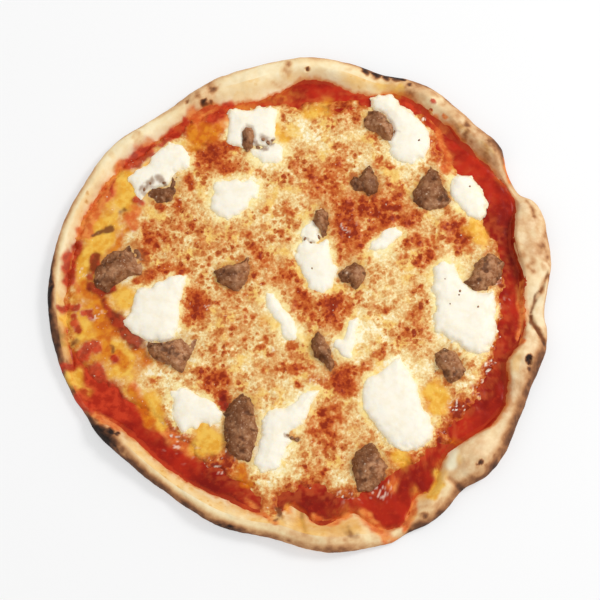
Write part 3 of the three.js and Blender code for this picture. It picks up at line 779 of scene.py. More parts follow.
def rimAt(angle):  # reach, width, height and crown of the rim
    return [roundTurn(row, angle) for row in rimRows]


def polarOf(x, y):  # distance and angle from the middle of the solid
    dx = x - rimMiddle[0]
    dy = y - rimMiddle[1]
    return np.hypot(dx, dy), np.degrees(np.arctan2(dy, dx)) % 360


def rimPatches(angle, far, patches):  # soft patches: angle, distance, half-length, half-width, amount
    total = np.zeros(len(angle))
    for at, r, along, across, amount in patches:
        near = (turnFrom(angle, at) * math.radians(1) * r / along) ** 2 + ((far - r) / across) ** 2
        total = np.maximum(total, amount * np.exp(-near ** 1.5))
    return total


def rimRelief(x, y):  # lumps, bubbles, folds and holes on the upper side of the rim
    place = flat(x, y)
    relief = 0.7 * lumps(place, 16, 5) + 0.35 * lumps(place, 5, 9)
    ragged = 0.12 * softNoise(place, 4, 23)
    for u, v, radius, height in crustSet["bubbles"]:
        px, py = seenAt(u, v, levels["rim"])
        away = np.hypot(x - px, y - py) / radius + ragged
        relief += height * np.sqrt(np.clip(1 - away ** 2, 0, 1))
    far, angle = polarOf(x, y)
    for at, r, radius, height in crustSet["swells"]:
        near = (turnFrom(angle, at) * math.radians(1) * r) ** 2 + (far - r) ** 2
        relief += height * np.exp(-1.2 * near / radius ** 2)
    for line, width, depth in crustSet["creases"]:
        relief -= depth * np.exp(-(alongLine(x, y, line, levels["rim"]) / width) ** 2)
    for u, v, radius, depth in crustSet["holes"]:
        px, py = seenAt(u, v, levels["rim"])
        relief -= depth * np.exp(-(np.hypot(x - px, y - py) / radius) ** 4)
    return relief


def crustTop(x, y):  # height of the crust's upper side
    far, angle = polarOf(x, y)
    reach, width, height, crown = rimAt(angle)
    inset = reach - far
    widest = crustSet["widest"] * height
    outside = np.clip(inset / crown, 0, 1)
    zOut = widest + np.sqrt(1 - (1 - outside) ** 2) * (height - widest)
    down = np.clip((inset - crown) / (width - crown), 0, 1)
    steep = 1 + np.clip((crown / width - 0.42) * 6, 0, 1.3)
    for at, spread, by in crustSet["steep"]:
        steep = steep + by * np.exp(-(turnFrom(angle, at) / spread) ** 2)
    zIn = height + (rimBase - height) * smooth(down ** steep)
    z = np.where(outside < 1, zOut, zIn)
    top = np.clip((z - widest) / (height - widest), 0, 1)
    return z + rimRelief(x, y) * np.clip(top * 1.5, 0, 1) * (1 - smooth((down - 0.7) / 0.3))


def makeCrust():
    rings = 1 + crustSet["under"] + crustSet["outer"] + crustSet["slope"] + 1
    crust, angle, ring = stripFor("bakedCrust", crustSet["sectors"], rings)
    reach, width, height, crown = rimAt(angle)
    widest = crustSet["widest"] * height
    lift = np.where(
        ring <= 1 + crustSet["under"],
        -90 + 90 * (ring - 1) / crustSet["under"],
        90 * (ring - 1 - crustSet["under"]) / crustSet["outer"],
    )
    lift = np.radians(np.clip(lift, -90, 90))
    down = np.clip((ring - 1 - crustSet["under"] - crustSet["outer"]) / crustSet["slope"], 0, 1)
    inset = np.where(down > 0, crown + (width - crown) * down, crown * (1 - np.cos(lift)))
    far = reach - inset
    low = lift < 0
    turnX = np.cos(np.radians(angle))
    turnY = np.sin(np.radians(angle))
    place = np.column_stack([far * turnX, far * turnY, 12 * np.sin(lift)])
    swell = 0.5 * lumps(place, 12, 31) + 0.25 * lumps(place, 4, 37)
    swell = swell * np.cos(lift) * (down == 0) * (lift > -1.5)
    hub = (ring == 0) | (ring == rings)
    far[hub] = 0
    swell[hub] = 0
    x = rimMiddle[0] + far * turnX
    y = rimMiddle[1] + far * turnY
    z = np.where(low, widest + np.sin(lift) * widest, crustTop(x, y))
    z = z + np.where(low, 0, 0.5 * smooth(inkAt(x, y, "red")))
    z[ring == 0] = 0
    z[ring == rings] = rimBase
    x = x + swell * turnX
    y = y + swell * turnY
    points = np.column_stack([x, y, z])
    writePoints(crust, points)

    share = crustSet["bakeAndShade"]
    grainy = lumps(points, 10, 41)
    fine = lumps(points, 3.5, 43)
    farHere, angleHere = polarOf(*stirred(x, y, 2.2, 6, 45))
    # browned patches, partly painted shade
    toastAndShade = rimPatches(angleHere, farHere, rimPaint["toastAndShade"]) * (1 + 0.5 * fine)
    # browning of the outer edge, and painted shade where the edge turns away from the light
    turns, depths, amounts, grounds = zip(*rimPaint["edge"])
    edge = np.exp(-(np.where(low, 0, inset) / np.interp(angle, turns, depths, period=360)) ** 2)
    edge = edge * np.interp(angle, turns, amounts, period=360) * (1 + 0.3 * grainy + 0.2 * fine)
    ground = np.interp(angle, turns, grounds, period=360) * (1 + 0.6 * grainy + 0.4 * fine)
    bakeAndShade = ground + 0.3 * np.clip(lumps(points, 14, 47), 0, 1) ** 1.5
    bakeAndShade = np.maximum(share["toastAndShade"] * toastAndShade, bakeAndShade)
    bakeAndShade = np.maximum(bakeAndShade, edge)
    narrow = np.exp(-(np.where(low, 0, inset) / 1.5) ** 2)
    bakeAndShade = np.maximum(bakeAndShade, share["edge"] * narrow * (1 + 0.3 * grainy))
    char = rimPatches(angleHere, farHere, rimPaint["char"])
    bakeAndShade = np.maximum(bakeAndShade, share["char"] * char * (1 + 0.4 * fine))
    marks = spotField(*stirred(x, y, 1.6, 4, 49), crustSet["marks"], levels["rim"])
    bakeAndShade = np.maximum(bakeAndShade, marks * (1 + 0.35 * fine) * ~low)
    oil = rimPatches(angleHere, farHere, rimPaint["oil"]) * (1 + 0.3 * fine) * (down > 0)
    freckles = dots(*stirred(x, y, 1, 2.5, 53), 4.2, 231)
    bakeAndShade = np.maximum(bakeAndShade, share["oilDots"] * np.clip(oil, 0, 1) * freckles)
    # painted shade along the fold lines
    for line, wide, _ in crustSet["creases"]:
        bakeAndShade = bakeAndShade + share["creaseShade"] * np.exp(-(alongLine(x, y, line, levels["rim"]) / wide) ** 2)
    bakeAndShade[low] = np.maximum(bakeAndShade[low], share["under"] + 0.4 * grainy[low])
    past = np.clip(far - sauceEdge(angle, x, y), 0, 99)
    bare = 1 - 0.9 * np.exp(-(turnFrom(angle, 10) / 14) ** 2)
    paint(crust, "bakeAndShade", bakeAndShade / crustSet["fullBake"])
    paint(crust, "oil", oil)
    paint(crust, "shore", np.exp(-(past / (1.4 + 0.8 * grainy)) ** 2) * (down > 0) * bare)
    flour = rimPatches(angleHere, farHere, rimPaint["flour"])
    paint(crust, "flour", flour * (1 - between(0.35, 0.85, bakeAndShade)))
    paintInk(crust, x, np.where(low, 999, y))  # the underside is moved clear of the strokes
    drip = alongLine(x, y, crustSet["drip"], levels["drip"])
    paint(crust, "drip", np.exp(-(drip / (3 + 0.9 * fine)) ** 4))
    closeUp(crust)
    crust.data.materials.append(crustFinish())
    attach(crust, "root")
    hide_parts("crust")
    print("crust:", len(crust.data.polygons), "faces")


def crustFinish():
    shade = Shade("bakedDough")
    bakeAndShade = shade.sum(shade.painted("bakeAndShade"), shade.span(shade.grain(2.6, 4), -0.09, 0.09))
    colour = shade.ramp(bakeAndShade, [
        (0, (254, 240, 202)), (0.156, (246, 220, 170)), (0.31, (228, 186, 134)), (0.44, (204, 150, 100)),
        (0.56, (162, 108, 68)), (0.69, (116, 74, 48)), (0.84, (74, 46, 31)), (1, (38, 24, 17)),
    ])
    floury = shade.mottled(7, 3, 0.4, 0.6, (242, 220, 186), (214, 180, 140))
    colour = shade.covered(colour, "flour", 0.4, floury)
    oil = shade.painted("oil")
    colour = shade.mix(shade.span(oil, 0, 0.66), colour, tone(243, 187, 88))
    colour = shade.covered(colour, "shore", 0.85, tone(216, 122, 52))
    colour = shade.mix(shade.painted("drip"), colour, tone(253, 242, 206))
    colour = shade.inked(colour)
    shade.give("Base Color", colour)
    shade.give("Roughness", shade.span(oil, 0.8, 0.45))
    shade.give("Specular IOR Level", 0.25)
    shade.bump(shade.grain(1.6, 4), 0.35, 0.35)
    return shade.material


# tomato sauce

sauceSet = {
    "sectors": 720, "across": 78, "inner": 60, "thick": 1.9,
    "oily": [  # angle, distance, half-length along, half-width across, amount of orange oil in the sauce
        (63, 146, 8, 4, 0.5), (68, 142, 9, 4, 0.5), (97, 133, 12, 6, 0.7), (108, 131, 12, 5, 0.9),
        (120, 134, 14, 6, 0.9), (135, 138, 16, 6, 0.8), (150, 143, 18, 7, 0.9), (163, 145, 18, 7, 0.8),
        (180, 146, 18, 7, 1), (193, 144, 18, 9, 1), (281, 142, 9, 4, 0.6),
        (299, 146, 3, 6, 0.9), (309, 139, 6, 4, 0.6), (339, 138, 6, 4, 0.5), (31, 150, 8, 3, 0.4),
    ],
    "deep": [  # the same for the darkest red
        (268, 137, 34, 16, 1), (248, 134, 26, 10, 0.9), (12, 142, 34, 12, 0.9), (350, 140, 16, 9, 0.5),
        (332, 140, 26, 12, 0.65), (290, 146, 14, 12, 0.35), (301, 141, 26, 12, 0.4),
        (254, 134, 14, 10, 0.6), (222, 134, 26, 8, 0.3),
    ],
    "glints": [  # picture point, radius, amount
        (379, 491, 9, 0.9), (371, 485, 6, 0.9), (389, 483, 6, 0.8), (352, 500, 8, 0.4),
        (470, 408, 8, 0.7), (505, 300, 5, 0.6), (174, 441, 10, 0.8), (188, 450, 10, 0.8),
        (203, 460, 8, 0.7), (222, 468, 8, 0.7), (250, 478, 6, 0.5),
    ],
    "shore": [  # angle, how far out the sauce reaches there
        (0, 141), (5, 143), (10, 140), (15, 140), (20, 146), (24, 151), (32, 150), (36, 147), (40, 145),
        (45, 145), (50, 147), (55, 146), (60, 149), (65, 149), (70, 141), (75, 139), (80, 142),
        (85, 144), (90, 144), (95, 137), (100, 134), (105, 133), (110, 135), (115, 139), (125, 138),
        (130, 137.5), (140, 139.5), (150, 143.5), (155, 145), (170, 147), (185, 147), (190, 149),
        (195, 149), (200, 152), (205, 156), (210, 151), (215, 142), (220, 139), (225, 138), (240, 138),
        (250, 137.5), (255, 139), (260, 142), (264, 140), (266.5, 134), (270, 134.5), (273, 144),
        (276, 147), (280, 143), (285, 143), (288, 158), (293, 160), (297, 152), (299, 145), (303, 150),
        (307, 142), (310, 137), (315, 137), (320, 141), (325, 146), (330, 147), (335, 143),
        (340, 137.5), (343, 137), (346, 142), (350, 143), (355, 142),
    ],
}


def smoothShore():  # the shore every half degree, with its corners rounded
    angles, reaches = zip(*sauceSet["shore"])
    row = np.interp(np.arange(0, 360, 0.5), angles, reaches, period=360)
    return sum(np.roll(row, k) for k in range(-4, 5)) / 9


shoreRow = smoothShore()


def sauceEdge(angle, x, y):  # how far out the sauce reaches
    place = flat(x, y)
    ragged = 1.2 * lumps(place, 9, 51) + 1.1 * lumps(place, 3.2, 57)
    return np.minimum(roundTurn(shoreRow, angle) + ragged, rimAt(angle)[0] - 2.4)


def sauceTop(x, y):
    far, angle = polarOf(x, y)
    inside = sauceEdge(angle, x, y) - far
    place = flat(x, y)
    ground = crustTop(x, y)
    ripple = 0.3 * lumps(place, 9, 61) + 0.22 * lumps(place, 3, 67)
    pool = np.clip(rimBase + sauceSet["thick"] - ground, 0, 9) * smooth(inside / 2.5)
    film = (0.45 + 0.2 * ripple) * smooth(inside / 2)
    layer = np.maximum(pool, film) + ripple * smooth(inside / 4)
    return ground + np.where(inside > 0, layer, 0.6 * inside)


def makeSauce():
    rings = sauceSet["across"] + 4
    sauce, angle, ring = stripFor("tomatoSauce", sauceSet["sectors"], rings)
    reach, width = rimAt(angle)[:2]
    outer = np.minimum(roundTurn(shoreRow, angle) + 4, reach - 1.6)
    inward = np.clip((ring - 3) / sauceSet["across"], 0, 1)
    far = outer + (sauceSet["inner"] - outer) * inward
    far = np.where(ring == 1, reach - width - 3, far)
    far[(ring == 0) | (ring == rings)] = 0
    x = rimMiddle[0] + far * np.cos(np.radians(angle))
    y = rimMiddle[1] + far * np.sin(np.radians(angle))
    z = sauceTop(x, y)
    z = z + 0.4 * smooth(inkAt(x, y, "red"))
    z[ring == 2] -= 1.2
    z[ring <= 1] = rimBase + 0.2
    z[ring == rings] = rimBase + sauceSet["thick"]
    writePoints(sauce, np.column_stack([x, y, z]))
    inside = sauceEdge(angle, x, y) - far
    paint(sauce, "thin", 1 - smooth(inside / 2.6))
    farHere, angleHere = polarOf(*stirred(x, y, 3.5, 7, 55))
    pulpy = 1 - between(0.1, 0.5, lumps(flat(x, y), 4, 59))
    film = between(-11, -1, cheeseInside(x, y) + 3 * lumps(flat(x, y), 3, 65)) * (inside > 0)
    paint(sauce, "film", film * between(-0.4, 0.5, lumps(flat(x, y), 2.4, 69)))
    paint(sauce, "deep", np.clip(rimPatches(angleHere, farHere, sauceSet["deep"]), 0, 1))
    paint(sauce, "oily", rimPatches(angleHere, farHere, sauceSet["oily"]) * (0.35 + 0.65 * pulpy))
    glint = spotField(x, y, sauceSet["glints"], levels["sauce"]) * sparkle(x, y, 0.35, 0.6, 2.4, 241)
    paint(sauce, "glint", np.clip(glint, 0, 0.7))
    paintInk(sauce, x, y)
    closeUp(sauce)
    sauce.data.materials.append(sauceFinish())
    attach(sauce, "root")
    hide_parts("tomato_sauce")
    print("sauce:", len(sauce.data.polygons), "faces")


def sauceFinish():
    shade = Shade("wetTomato")
    colour = shade.mottled(14, 2, 0.36, 0.64, (189, 43, 21), (151, 27, 15))
    colour = shade.covered(colour, "deep", 0.7, tone(106, 18, 11))
    pulp = shade.steps(shade.grain(3, 3), 0.5, 0.72)
    colour = shade.mix(shade.span(pulp, 0, 0.3), colour, tone(200, 62, 26))
    orange = shade.mottled(5, 3, 0.4, 0.65, (228, 142, 56), (208, 92, 38))
    colour = shade.mix(shade.painted("oily"), colour, orange)
    colour = shade.covered(colour, "film", 0.45, tone(206, 98, 48))
    colour = shade.covered(colour, "thin", 0.6, tone(206, 84, 40))
    colour = shade.inked(colour)
    colour = shade.mix(shade.painted("glint"), colour, tone(255, 226, 204))
    shade.give("Base Color", colour)
    shade.give("Roughness", 0.3)
    shade.give("Specular IOR Level", 0.1)
    shade.bump(shade.grain(2.4, 4), 0.35, 0.4)
    return shade.material


# melted cheese

cheeseSet = {
    "step": 0.8, "thick": 2.6, "reach": 152, "measured": 90,
    "heat": {  # how brown each kind of place gets
        "base": 0.23, "wash": 0.23, "hot": 0.44, "rim": 0.6,
        "big": 0.76, "small": 0.62, "wet": 0.3, "rust": 0.86,
    },
    "tongues": [  # picture points along each run of cheese over the sauce, half-width
        ([(268, 480), (270, 495), (269, 508), (267, 518)], 8), ([(440, 432), (446, 440)], 5),
        ([(432, 112), (436, 104)], 4), ([(330, 476), (335, 485), (343, 489)], 9),
        ([(250, 470), (257, 482)], 9), ([(289, 478), (293, 486)], 6),
        ([(304, 105), (320, 104), (338, 104), (356, 102)], 5),
    ],
}

cheesePaint = {  # picture point, radius, amount
    "hot": [
        (200, 125, 8, 0.9), (205, 140, 8, 0.8), (215, 115, 8, 0.9), (225, 105, 5, 1), (195, 150, 6, 0.5),
        (197, 160, 9, 0.9), (205, 165, 8, 0.8), (215, 150, 9, 0.9), (222, 160, 8, 0.8), (235, 145, 6, 0.8),
        (225, 175, 5, 0.8), (235, 165, 5, 0.6), (188, 180, 6, 0.9), (190, 190, 4, 0.7), (260, 170, 5, 0.9),
        (248, 168, 3, 0.6), (160, 206, 5, 0.8), (177, 205, 5, 0.9), (150, 210, 4, 0.5), (135, 205, 5, 0.9),
        (130, 215, 6, 0.7), (135, 195, 4, 0.8), (150, 225, 5, 0.9), (150, 240, 7, 1), (155, 247, 5, 0.8),
        (145, 255, 5, 1), (148, 262, 4, 0.8), (166, 232, 4, 0.7), (180, 225, 4, 0.7), (192, 225, 4, 0.8),
        (170, 245, 4, 0.5), (180, 243, 4, 0.5), (200, 240, 4, 0.5), (165, 270, 7, 0.8), (175, 272, 6, 0.9),
        (190, 273, 6, 0.7), (182, 268, 4, 0.6), (140, 280, 5, 0.9), (150, 278, 5, 0.7), (265, 210, 4, 0.9),
        (285, 205, 5, 0.7), (290, 213, 5, 0.8), (283, 175, 4, 0.7), (275, 180, 3, 0.6), (293, 165, 4, 0.6),
        (291, 180, 4, 0.5), (243, 235, 4, 0.7), (250, 235, 4, 0.8), (233, 235, 3, 0.5), (268, 237, 3, 0.6),
        (280, 232, 4, 0.8), (287, 240, 4, 0.6), (255, 250, 6, 0.9), (260, 255, 6, 0.9), (265, 262, 5, 0.7),
        (252, 262, 4, 0.6), (255, 277, 5, 1), (262, 282, 4, 0.9), (280, 270, 6, 0.8), (287, 275, 6, 0.9),
        (292, 265, 5, 0.7), (275, 280, 4, 0.6), (200, 280, 4, 0.7), (193, 286, 4, 0.8), (207, 262, 4, 0.6),
        (215, 285, 3, 0.6), (195, 302, 10, 1.1), (188, 297, 7, 1), (205, 298, 5, 0.7), (220, 300, 4, 0.7),
        (235, 292, 4, 0.8), (247, 293, 3, 0.7), (228, 293, 3, 0.6), (300, 110, 4, 0.8), (330, 103, 7, 0.5),
        (330, 115, 7, 0.6), (345, 105, 6, 0.6), (355, 112, 5, 0.7), (357, 120, 4, 0.8), (335, 125, 5, 0.5),
        (315, 132, 3, 0.6), (365, 100, 6, 0.6), (340, 165, 9, 0.7), (330, 175, 10, 0.7), (345, 150, 8, 0.5),
        (310, 175, 8, 0.6), (297, 170, 6, 0.5), (320, 185, 10, 0.7), (305, 190, 8, 0.6), (315, 195, 5, 0.8),
        (335, 190, 8, 0.8), (345, 180, 6, 0.6), (345, 205, 9, 1), (337, 200, 7, 0.9), (350, 213, 6, 1),
        (368, 203, 8, 1.1), (375, 197, 5, 0.9), (360, 212, 6, 0.9), (385, 205, 8, 1), (395, 207, 6, 1),
        (390, 200, 8, 0.9), (400, 195, 5, 0.8), (402, 185, 5, 0.9), (392, 185, 5, 0.6), (375, 215, 8, 0.9),
        (385, 222, 9, 0.9), (395, 222, 7, 0.9), (410, 222, 6, 1), (415, 215, 6, 0.9), (402, 226, 5, 1),
        (350, 230, 10, 0.9), (365, 235, 9, 0.9), (345, 245, 8, 0.9), (360, 245, 7, 0.9), (330, 225, 8, 0.8),
        (340, 218, 8, 0.8), (372, 228, 8, 0.9), (405, 243, 5, 1), (415, 240, 6, 1), (425, 245, 5, 1),
        (430, 250, 4, 1), (430, 258, 7, 1), (420, 262, 5, 0.9), (432, 240, 4, 0.7), (445, 225, 5, 0.9),
        (455, 225, 6, 1.1), (460, 220, 5, 1.1), (457, 235, 7, 0.9), (465, 240, 6, 1), (450, 240, 5, 0.7),
        (460, 250, 6, 0.8), (470, 250, 5, 0.6), (450, 195, 5, 0.9), (447, 205, 4, 0.8), (380, 162, 6, 0.9),
        (388, 165, 5, 1), (375, 165, 4, 0.6), (372, 138, 4, 0.8), (430, 115, 5, 0.9), (425, 125, 4, 0.8),
        (430, 140, 6, 0.8), (438, 150, 6, 0.8), (435, 160, 5, 0.7), (445, 165, 6, 0.9), (440, 180, 5, 0.9),
        (415, 112, 4, 0.7), (410, 105, 5, 0.7), (400, 95, 4, 0.6), (400, 260, 4, 0.7), (405, 257, 3, 0.9),
        (402, 270, 4, 0.6), (370, 260, 4, 0.6), (380, 275, 3, 0.6), (420, 290, 5, 0.8), (425, 300, 4, 0.6),
        (435, 280, 3, 0.5), (340, 262, 5, 0.8), (335, 275, 6, 0.6), (320, 293, 6, 0.9), (300, 280, 6, 0.9),
        (295, 275, 5, 0.8), (300, 290, 6, 0.9), (305, 300, 5, 0.9), (340, 300, 6, 1), (330, 297, 5, 0.9),
        (350, 298, 5, 0.8), (195, 315, 5, 0.9), (184, 318, 6, 0.8), (190, 322, 5, 0.7), (245, 312, 3, 0.8),
        (235, 308, 3, 0.6), (255, 315, 4, 0.7), (262, 305, 4, 0.5), (262, 345, 5, 0.9), (265, 340, 4, 1),
        (215, 350, 4, 0.7), (228, 352, 3, 0.6), (230, 345, 3, 0.6), (215, 340, 4, 0.5), (245, 340, 3, 0.6),
        (232, 330, 5, 0.5), (205, 370, 6, 0.9), (213, 378, 8, 1), (222, 380, 6, 1.1), (205, 385, 6, 0.9),
        (225, 393, 5, 1.2), (222, 402, 5, 1.2), (228, 405, 4, 1.2), (265, 370, 4, 0.7), (278, 370, 4, 0.7),
        (285, 365, 4, 0.6), (265, 400, 3, 0.6), (298, 370, 6, 1), (298, 385, 5, 0.9), (155, 380, 6, 0.7),
        (150, 385, 4, 0.5), (160, 410, 5, 0.6), (155, 420, 5, 0.7), (163, 425, 4, 0.8), (170, 432, 5, 0.9),
        (180, 440, 6, 0.9), (190, 445, 5, 0.9), (195, 450, 5, 0.9), (210, 460, 6, 0.9), (215, 465, 5, 0.8),
        (225, 455, 5, 1), (230, 465, 5, 0.9), (222, 470, 5, 0.9), (235, 475, 5, 0.8), (288, 435, 4, 1),
        (293, 438, 4, 1), (290, 460, 4, 0.6), (265, 475, 4, 0.5), (118, 328, 9, 1.1), (100, 292, 8, 0.6),
        (112, 358, 3, 1), (305, 295, 7, 0.9), (297, 305, 6, 0.8), (308, 307, 5, 0.9), (300, 318, 5, 0.7),
        (312, 318, 6, 0.9), (320, 325, 5, 0.9), (325, 300, 8, 0.9), (335, 305, 8, 1), (330, 315, 8, 0.9),
        (345, 310, 7, 0.9), (340, 320, 7, 0.9), (350, 315, 5, 0.7), (340, 330, 5, 0.8), (357, 300, 4, 0.6),
        (385, 310, 4, 0.8), (410, 315, 5, 0.6), (420, 312, 5, 0.6), (430, 310, 4, 0.5), (405, 330, 6, 0.5),
        (415, 335, 7, 0.4), (420, 325, 6, 0.4), (430, 335, 5, 0.5), (400, 345, 5, 0.4), (385, 352, 5, 0.8),
        (378, 356, 5, 0.8), (370, 365, 6, 1), (362, 370, 6, 0.9), (355, 368, 5, 0.8), (345, 375, 8, 1.1),
        (350, 385, 8, 1.1), (340, 385, 7, 1), (335, 378, 6, 0.9), (325, 385, 5, 0.7), (345, 392, 5, 0.9),
        (303, 368, 5, 0.7), (310, 365, 5, 0.7), (290, 370, 4, 0.7), (295, 343, 5, 1.3), (282, 365, 4, 0.7),
        (320, 415, 7, 0.8), (325, 425, 7, 0.9), (315, 430, 5, 0.8), (330, 435, 6, 0.8), (335, 415, 6, 0.7),
        (330, 445, 5, 0.7), (340, 425, 5, 0.5), (318, 440, 4, 0.6), (335, 405, 5, 0.5), (310, 420, 4, 0.6),
        (425, 400, 6, 0.8), (432, 400, 4, 0.9), (395, 452, 6, 0.8), (412, 455, 4, 0.6), (435, 432, 4, 0.7),
        (430, 428, 4, 0.8), (440, 440, 4, 0.6), (460, 415, 6, 0.9), (470, 405, 6, 0.8), (465, 425, 5, 0.9),
        (345, 460, 4, 0.6), (335, 460, 3, 0.7), (325, 450, 3, 0.6), (320, 460, 3, 0.5), (310, 480, 5, 0.9),
        (305, 470, 4, 0.8), (325, 475, 4, 1), (340, 465, 3, 0.6), (503, 310, 5, 0.9),
    ],
    "amber": [
        (122, 198, 14, 1), (108, 225, 16, 1), (95, 255, 16, 1), (88, 290, 16, 1), (90, 325, 18, 1),
        (105, 355, 18, 1), (125, 300, 13, 0.8), (120, 330, 14, 1), (135, 370, 14, 0.8),
        (150, 405, 12, 0.8), (80, 365, 12, 0.9), (205, 132, 10, 0.9), (195, 145, 10, 0.7),
        (215, 440, 9, 0.9), (200, 445, 8, 0.7), (435, 398, 9, 1), (400, 458, 9, 0.9),
        (472, 232, 8, 0.6), (455, 165, 6, 0.7), (480, 225, 8, 0.8),
        (470, 232, 7, 0.7), (485, 235, 6, 0.6), (150, 400, 9, 0.7), (205, 440, 11, 1),
        (212, 432, 8, 0.8), (240, 475, 8, 0.8), (430, 395, 8, 0.9), (437, 388, 8, 1), (440, 400, 8, 1),
        (430, 410, 6, 1), (445, 410, 5, 0.8), (405, 455, 7, 0.9), (400, 462, 6, 1), (265, 320, 5, 0.5),
    ],
    "wash": [  # wide places that have gone orange
        (365, 205, 34, 1), (395, 218, 30, 1), (350, 238, 26, 1), (430, 250, 20, 0.9),
        (458, 232, 20, 0.9), (320, 182, 26, 0.8), (330, 168, 20, 0.7), (330, 312, 24, 1),
        (345, 380, 22, 1), (328, 425, 26, 1.3), (300, 368, 16, 0.8), (215, 158, 26, 0.8),
        (205, 140, 18, 0.9), (195, 305, 18, 0.9), (215, 380, 20, 0.9), (280, 275, 22, 0.8),
        (255, 262, 18, 0.8), (150, 245, 18, 0.7), (170, 272, 20, 0.7), (440, 150, 20, 0.8),
        (345, 112, 24, 0.25), (215, 465, 22, 0.8), (185, 442, 18, 0.8), (405, 455, 16, 0.8),
        (430, 402, 18, 0.6), (230, 240, 30, 0.3), (300, 300, 18, 0.8), (410, 330, 24, 0.5),
        (465, 415, 18, 0.8), (320, 470, 20, 0.6), (265, 370, 18, 0.4), (365, 425, 18, 0.5),
        (240, 312, 24, 0.35),
    ],
    "leftAmber": [  # angle, distance, half-length along, half-width across, amount
        (138, 128, 14, 12, 0.8), (148, 133, 20, 15, 1), (160, 134, 26, 15, 1), (174, 133, 28, 17, 1),
        (188, 132, 26, 18, 1), (200, 129, 20, 17, 0.9), (209, 124, 14, 12, 0.6),
    ],
    "pale": [
        (325, 150, 8, 1.2), (300, 125, 11, 0.9), (310, 140, 11, 0.8), (320, 110, 9, 0.8),
        (345, 135, 9, 0.7), (415, 165, 8, 0.6), (405, 175, 6, 0.9), (420, 175, 5, 0.6),
        (360, 160, 8, 0.3), (380, 255, 8, 0.8), (370, 258, 8, 0.8), (390, 255, 7, 0.7),
        (400, 280, 10, 0.6), (385, 290, 10, 0.6), (370, 285, 8, 0.5), (410, 275, 7, 0.4),
        (448, 250, 5, 0.9), (450, 258, 4, 1), (150, 375, 9, 0.8), (165, 372, 8, 0.8),
        (140, 385, 6, 0.7), (170, 380, 6, 0.6), (195, 360, 6, 0.7), (192, 350, 6, 0.8),
        (185, 375, 6, 0.5), (245, 360, 9, 0.5), (250, 370, 8, 0.6), (255, 385, 8, 0.6),
        (285, 385, 10, 0.6), (290, 395, 8, 0.7), (240, 375, 6, 0.5), (185, 435, 5, 0.7),
        (290, 455, 9, 0.8), (280, 470, 8, 0.8), (270, 478, 6, 0.7), (250, 475, 5, 0.6),
        (365, 325, 10, 0.8), (375, 335, 9, 0.8), (360, 340, 7, 0.9), (390, 320, 8, 0.6),
        (385, 335, 8, 0.5), (400, 300, 10, 0.5), (375, 300, 8, 0.5), (395, 290, 8, 0.4),
        (410, 300, 6, 0.3), (360, 310, 5, 0.9), (370, 350, 7, 0.7), (360, 355, 5, 0.9),
        (390, 355, 7, 0.5), (410, 355, 8, 0.6), (420, 365, 8, 0.5), (405, 365, 6, 0.8),
        (440, 335, 7, 0.4), (465, 385, 6, 0.9), (470, 375, 8, 0.7), (478, 360, 8, 0.7),
        (460, 390, 5, 0.8), (350, 405, 8, 0.5), (355, 415, 8, 0.5), (365, 430, 7, 0.5),
        (350, 395, 6, 0.4), (375, 435, 6, 0.4), (130, 236, 6, 1), (137, 270, 5, 0.9), (131, 277, 5, 1),
        (143, 266, 4, 0.9), (205, 308, 5, 0.8), (268, 488, 10, 1), (269, 504, 9, 1),
        (335, 485, 10, 0.9), (300, 478, 7, 0.5),
    ],
    "wet": [
        (504, 326, 10, 1), (500, 343, 10, 1), (492, 368, 10, 1), (484, 388, 10, 1), (458, 407, 9, 1),
        (440, 434, 9, 0.9), (392, 496, 10, 1), (380, 486, 8, 0.9), (165, 430, 10, 1), (178, 445, 10, 1),
        (192, 458, 10, 1), (210, 470, 10, 1), (228, 455, 7, 0.8), (305, 488, 9, 0.7),
        (345, 495, 9, 0.7), (497, 278, 7, 0.9), (505, 300, 7, 0.9), (82, 274, 6, 0.8),
        (96, 314, 6, 0.8), (426, 118, 6, 0.8), (345, 225, 10, 0.5), (300, 98, 8, 0.6),
        (275, 352, 5, 0.7), (315, 380, 7, 0.6), (205, 308, 5, 0.7),
    ],
}


def measureCheese():  # how far the solid's cheese reaches in each direction
    points = readPoints(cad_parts["melted_cheese"])
    far, angle = polarOf(points[:, 0], points[:, 1])
    count = cheeseSet["measured"]
    sector = np.round(angle / (360 / count)).astype(int) % count
    return np.array([far[sector == k].max() for k in range(count)])


cheeseReach = measureCheese()


def cheeseInside(x, y):  # how far inside the cheese's ragged edge each place is
    far, angle = polarOf(x, y)
    place = flat(x, y)
    ragged = 3.4 * lumps(place, 13, 71) + 2.8 * lumps(place, 5, 73) + 0.9 * softNoise(place, 2, 75)
    inside = roundTurn(cheeseReach, angle) + 6 * between(45, 20, np.abs(turnFrom(angle, 165))) - far
    inside = inside + ragged
    for line, wide in cheeseSet["tongues"]:
        away = alongLine(x, y, line, levels["sauce"])
        inside = np.maximum(inside, wide * pointSize + 0.4 * ragged - away)
    return inside


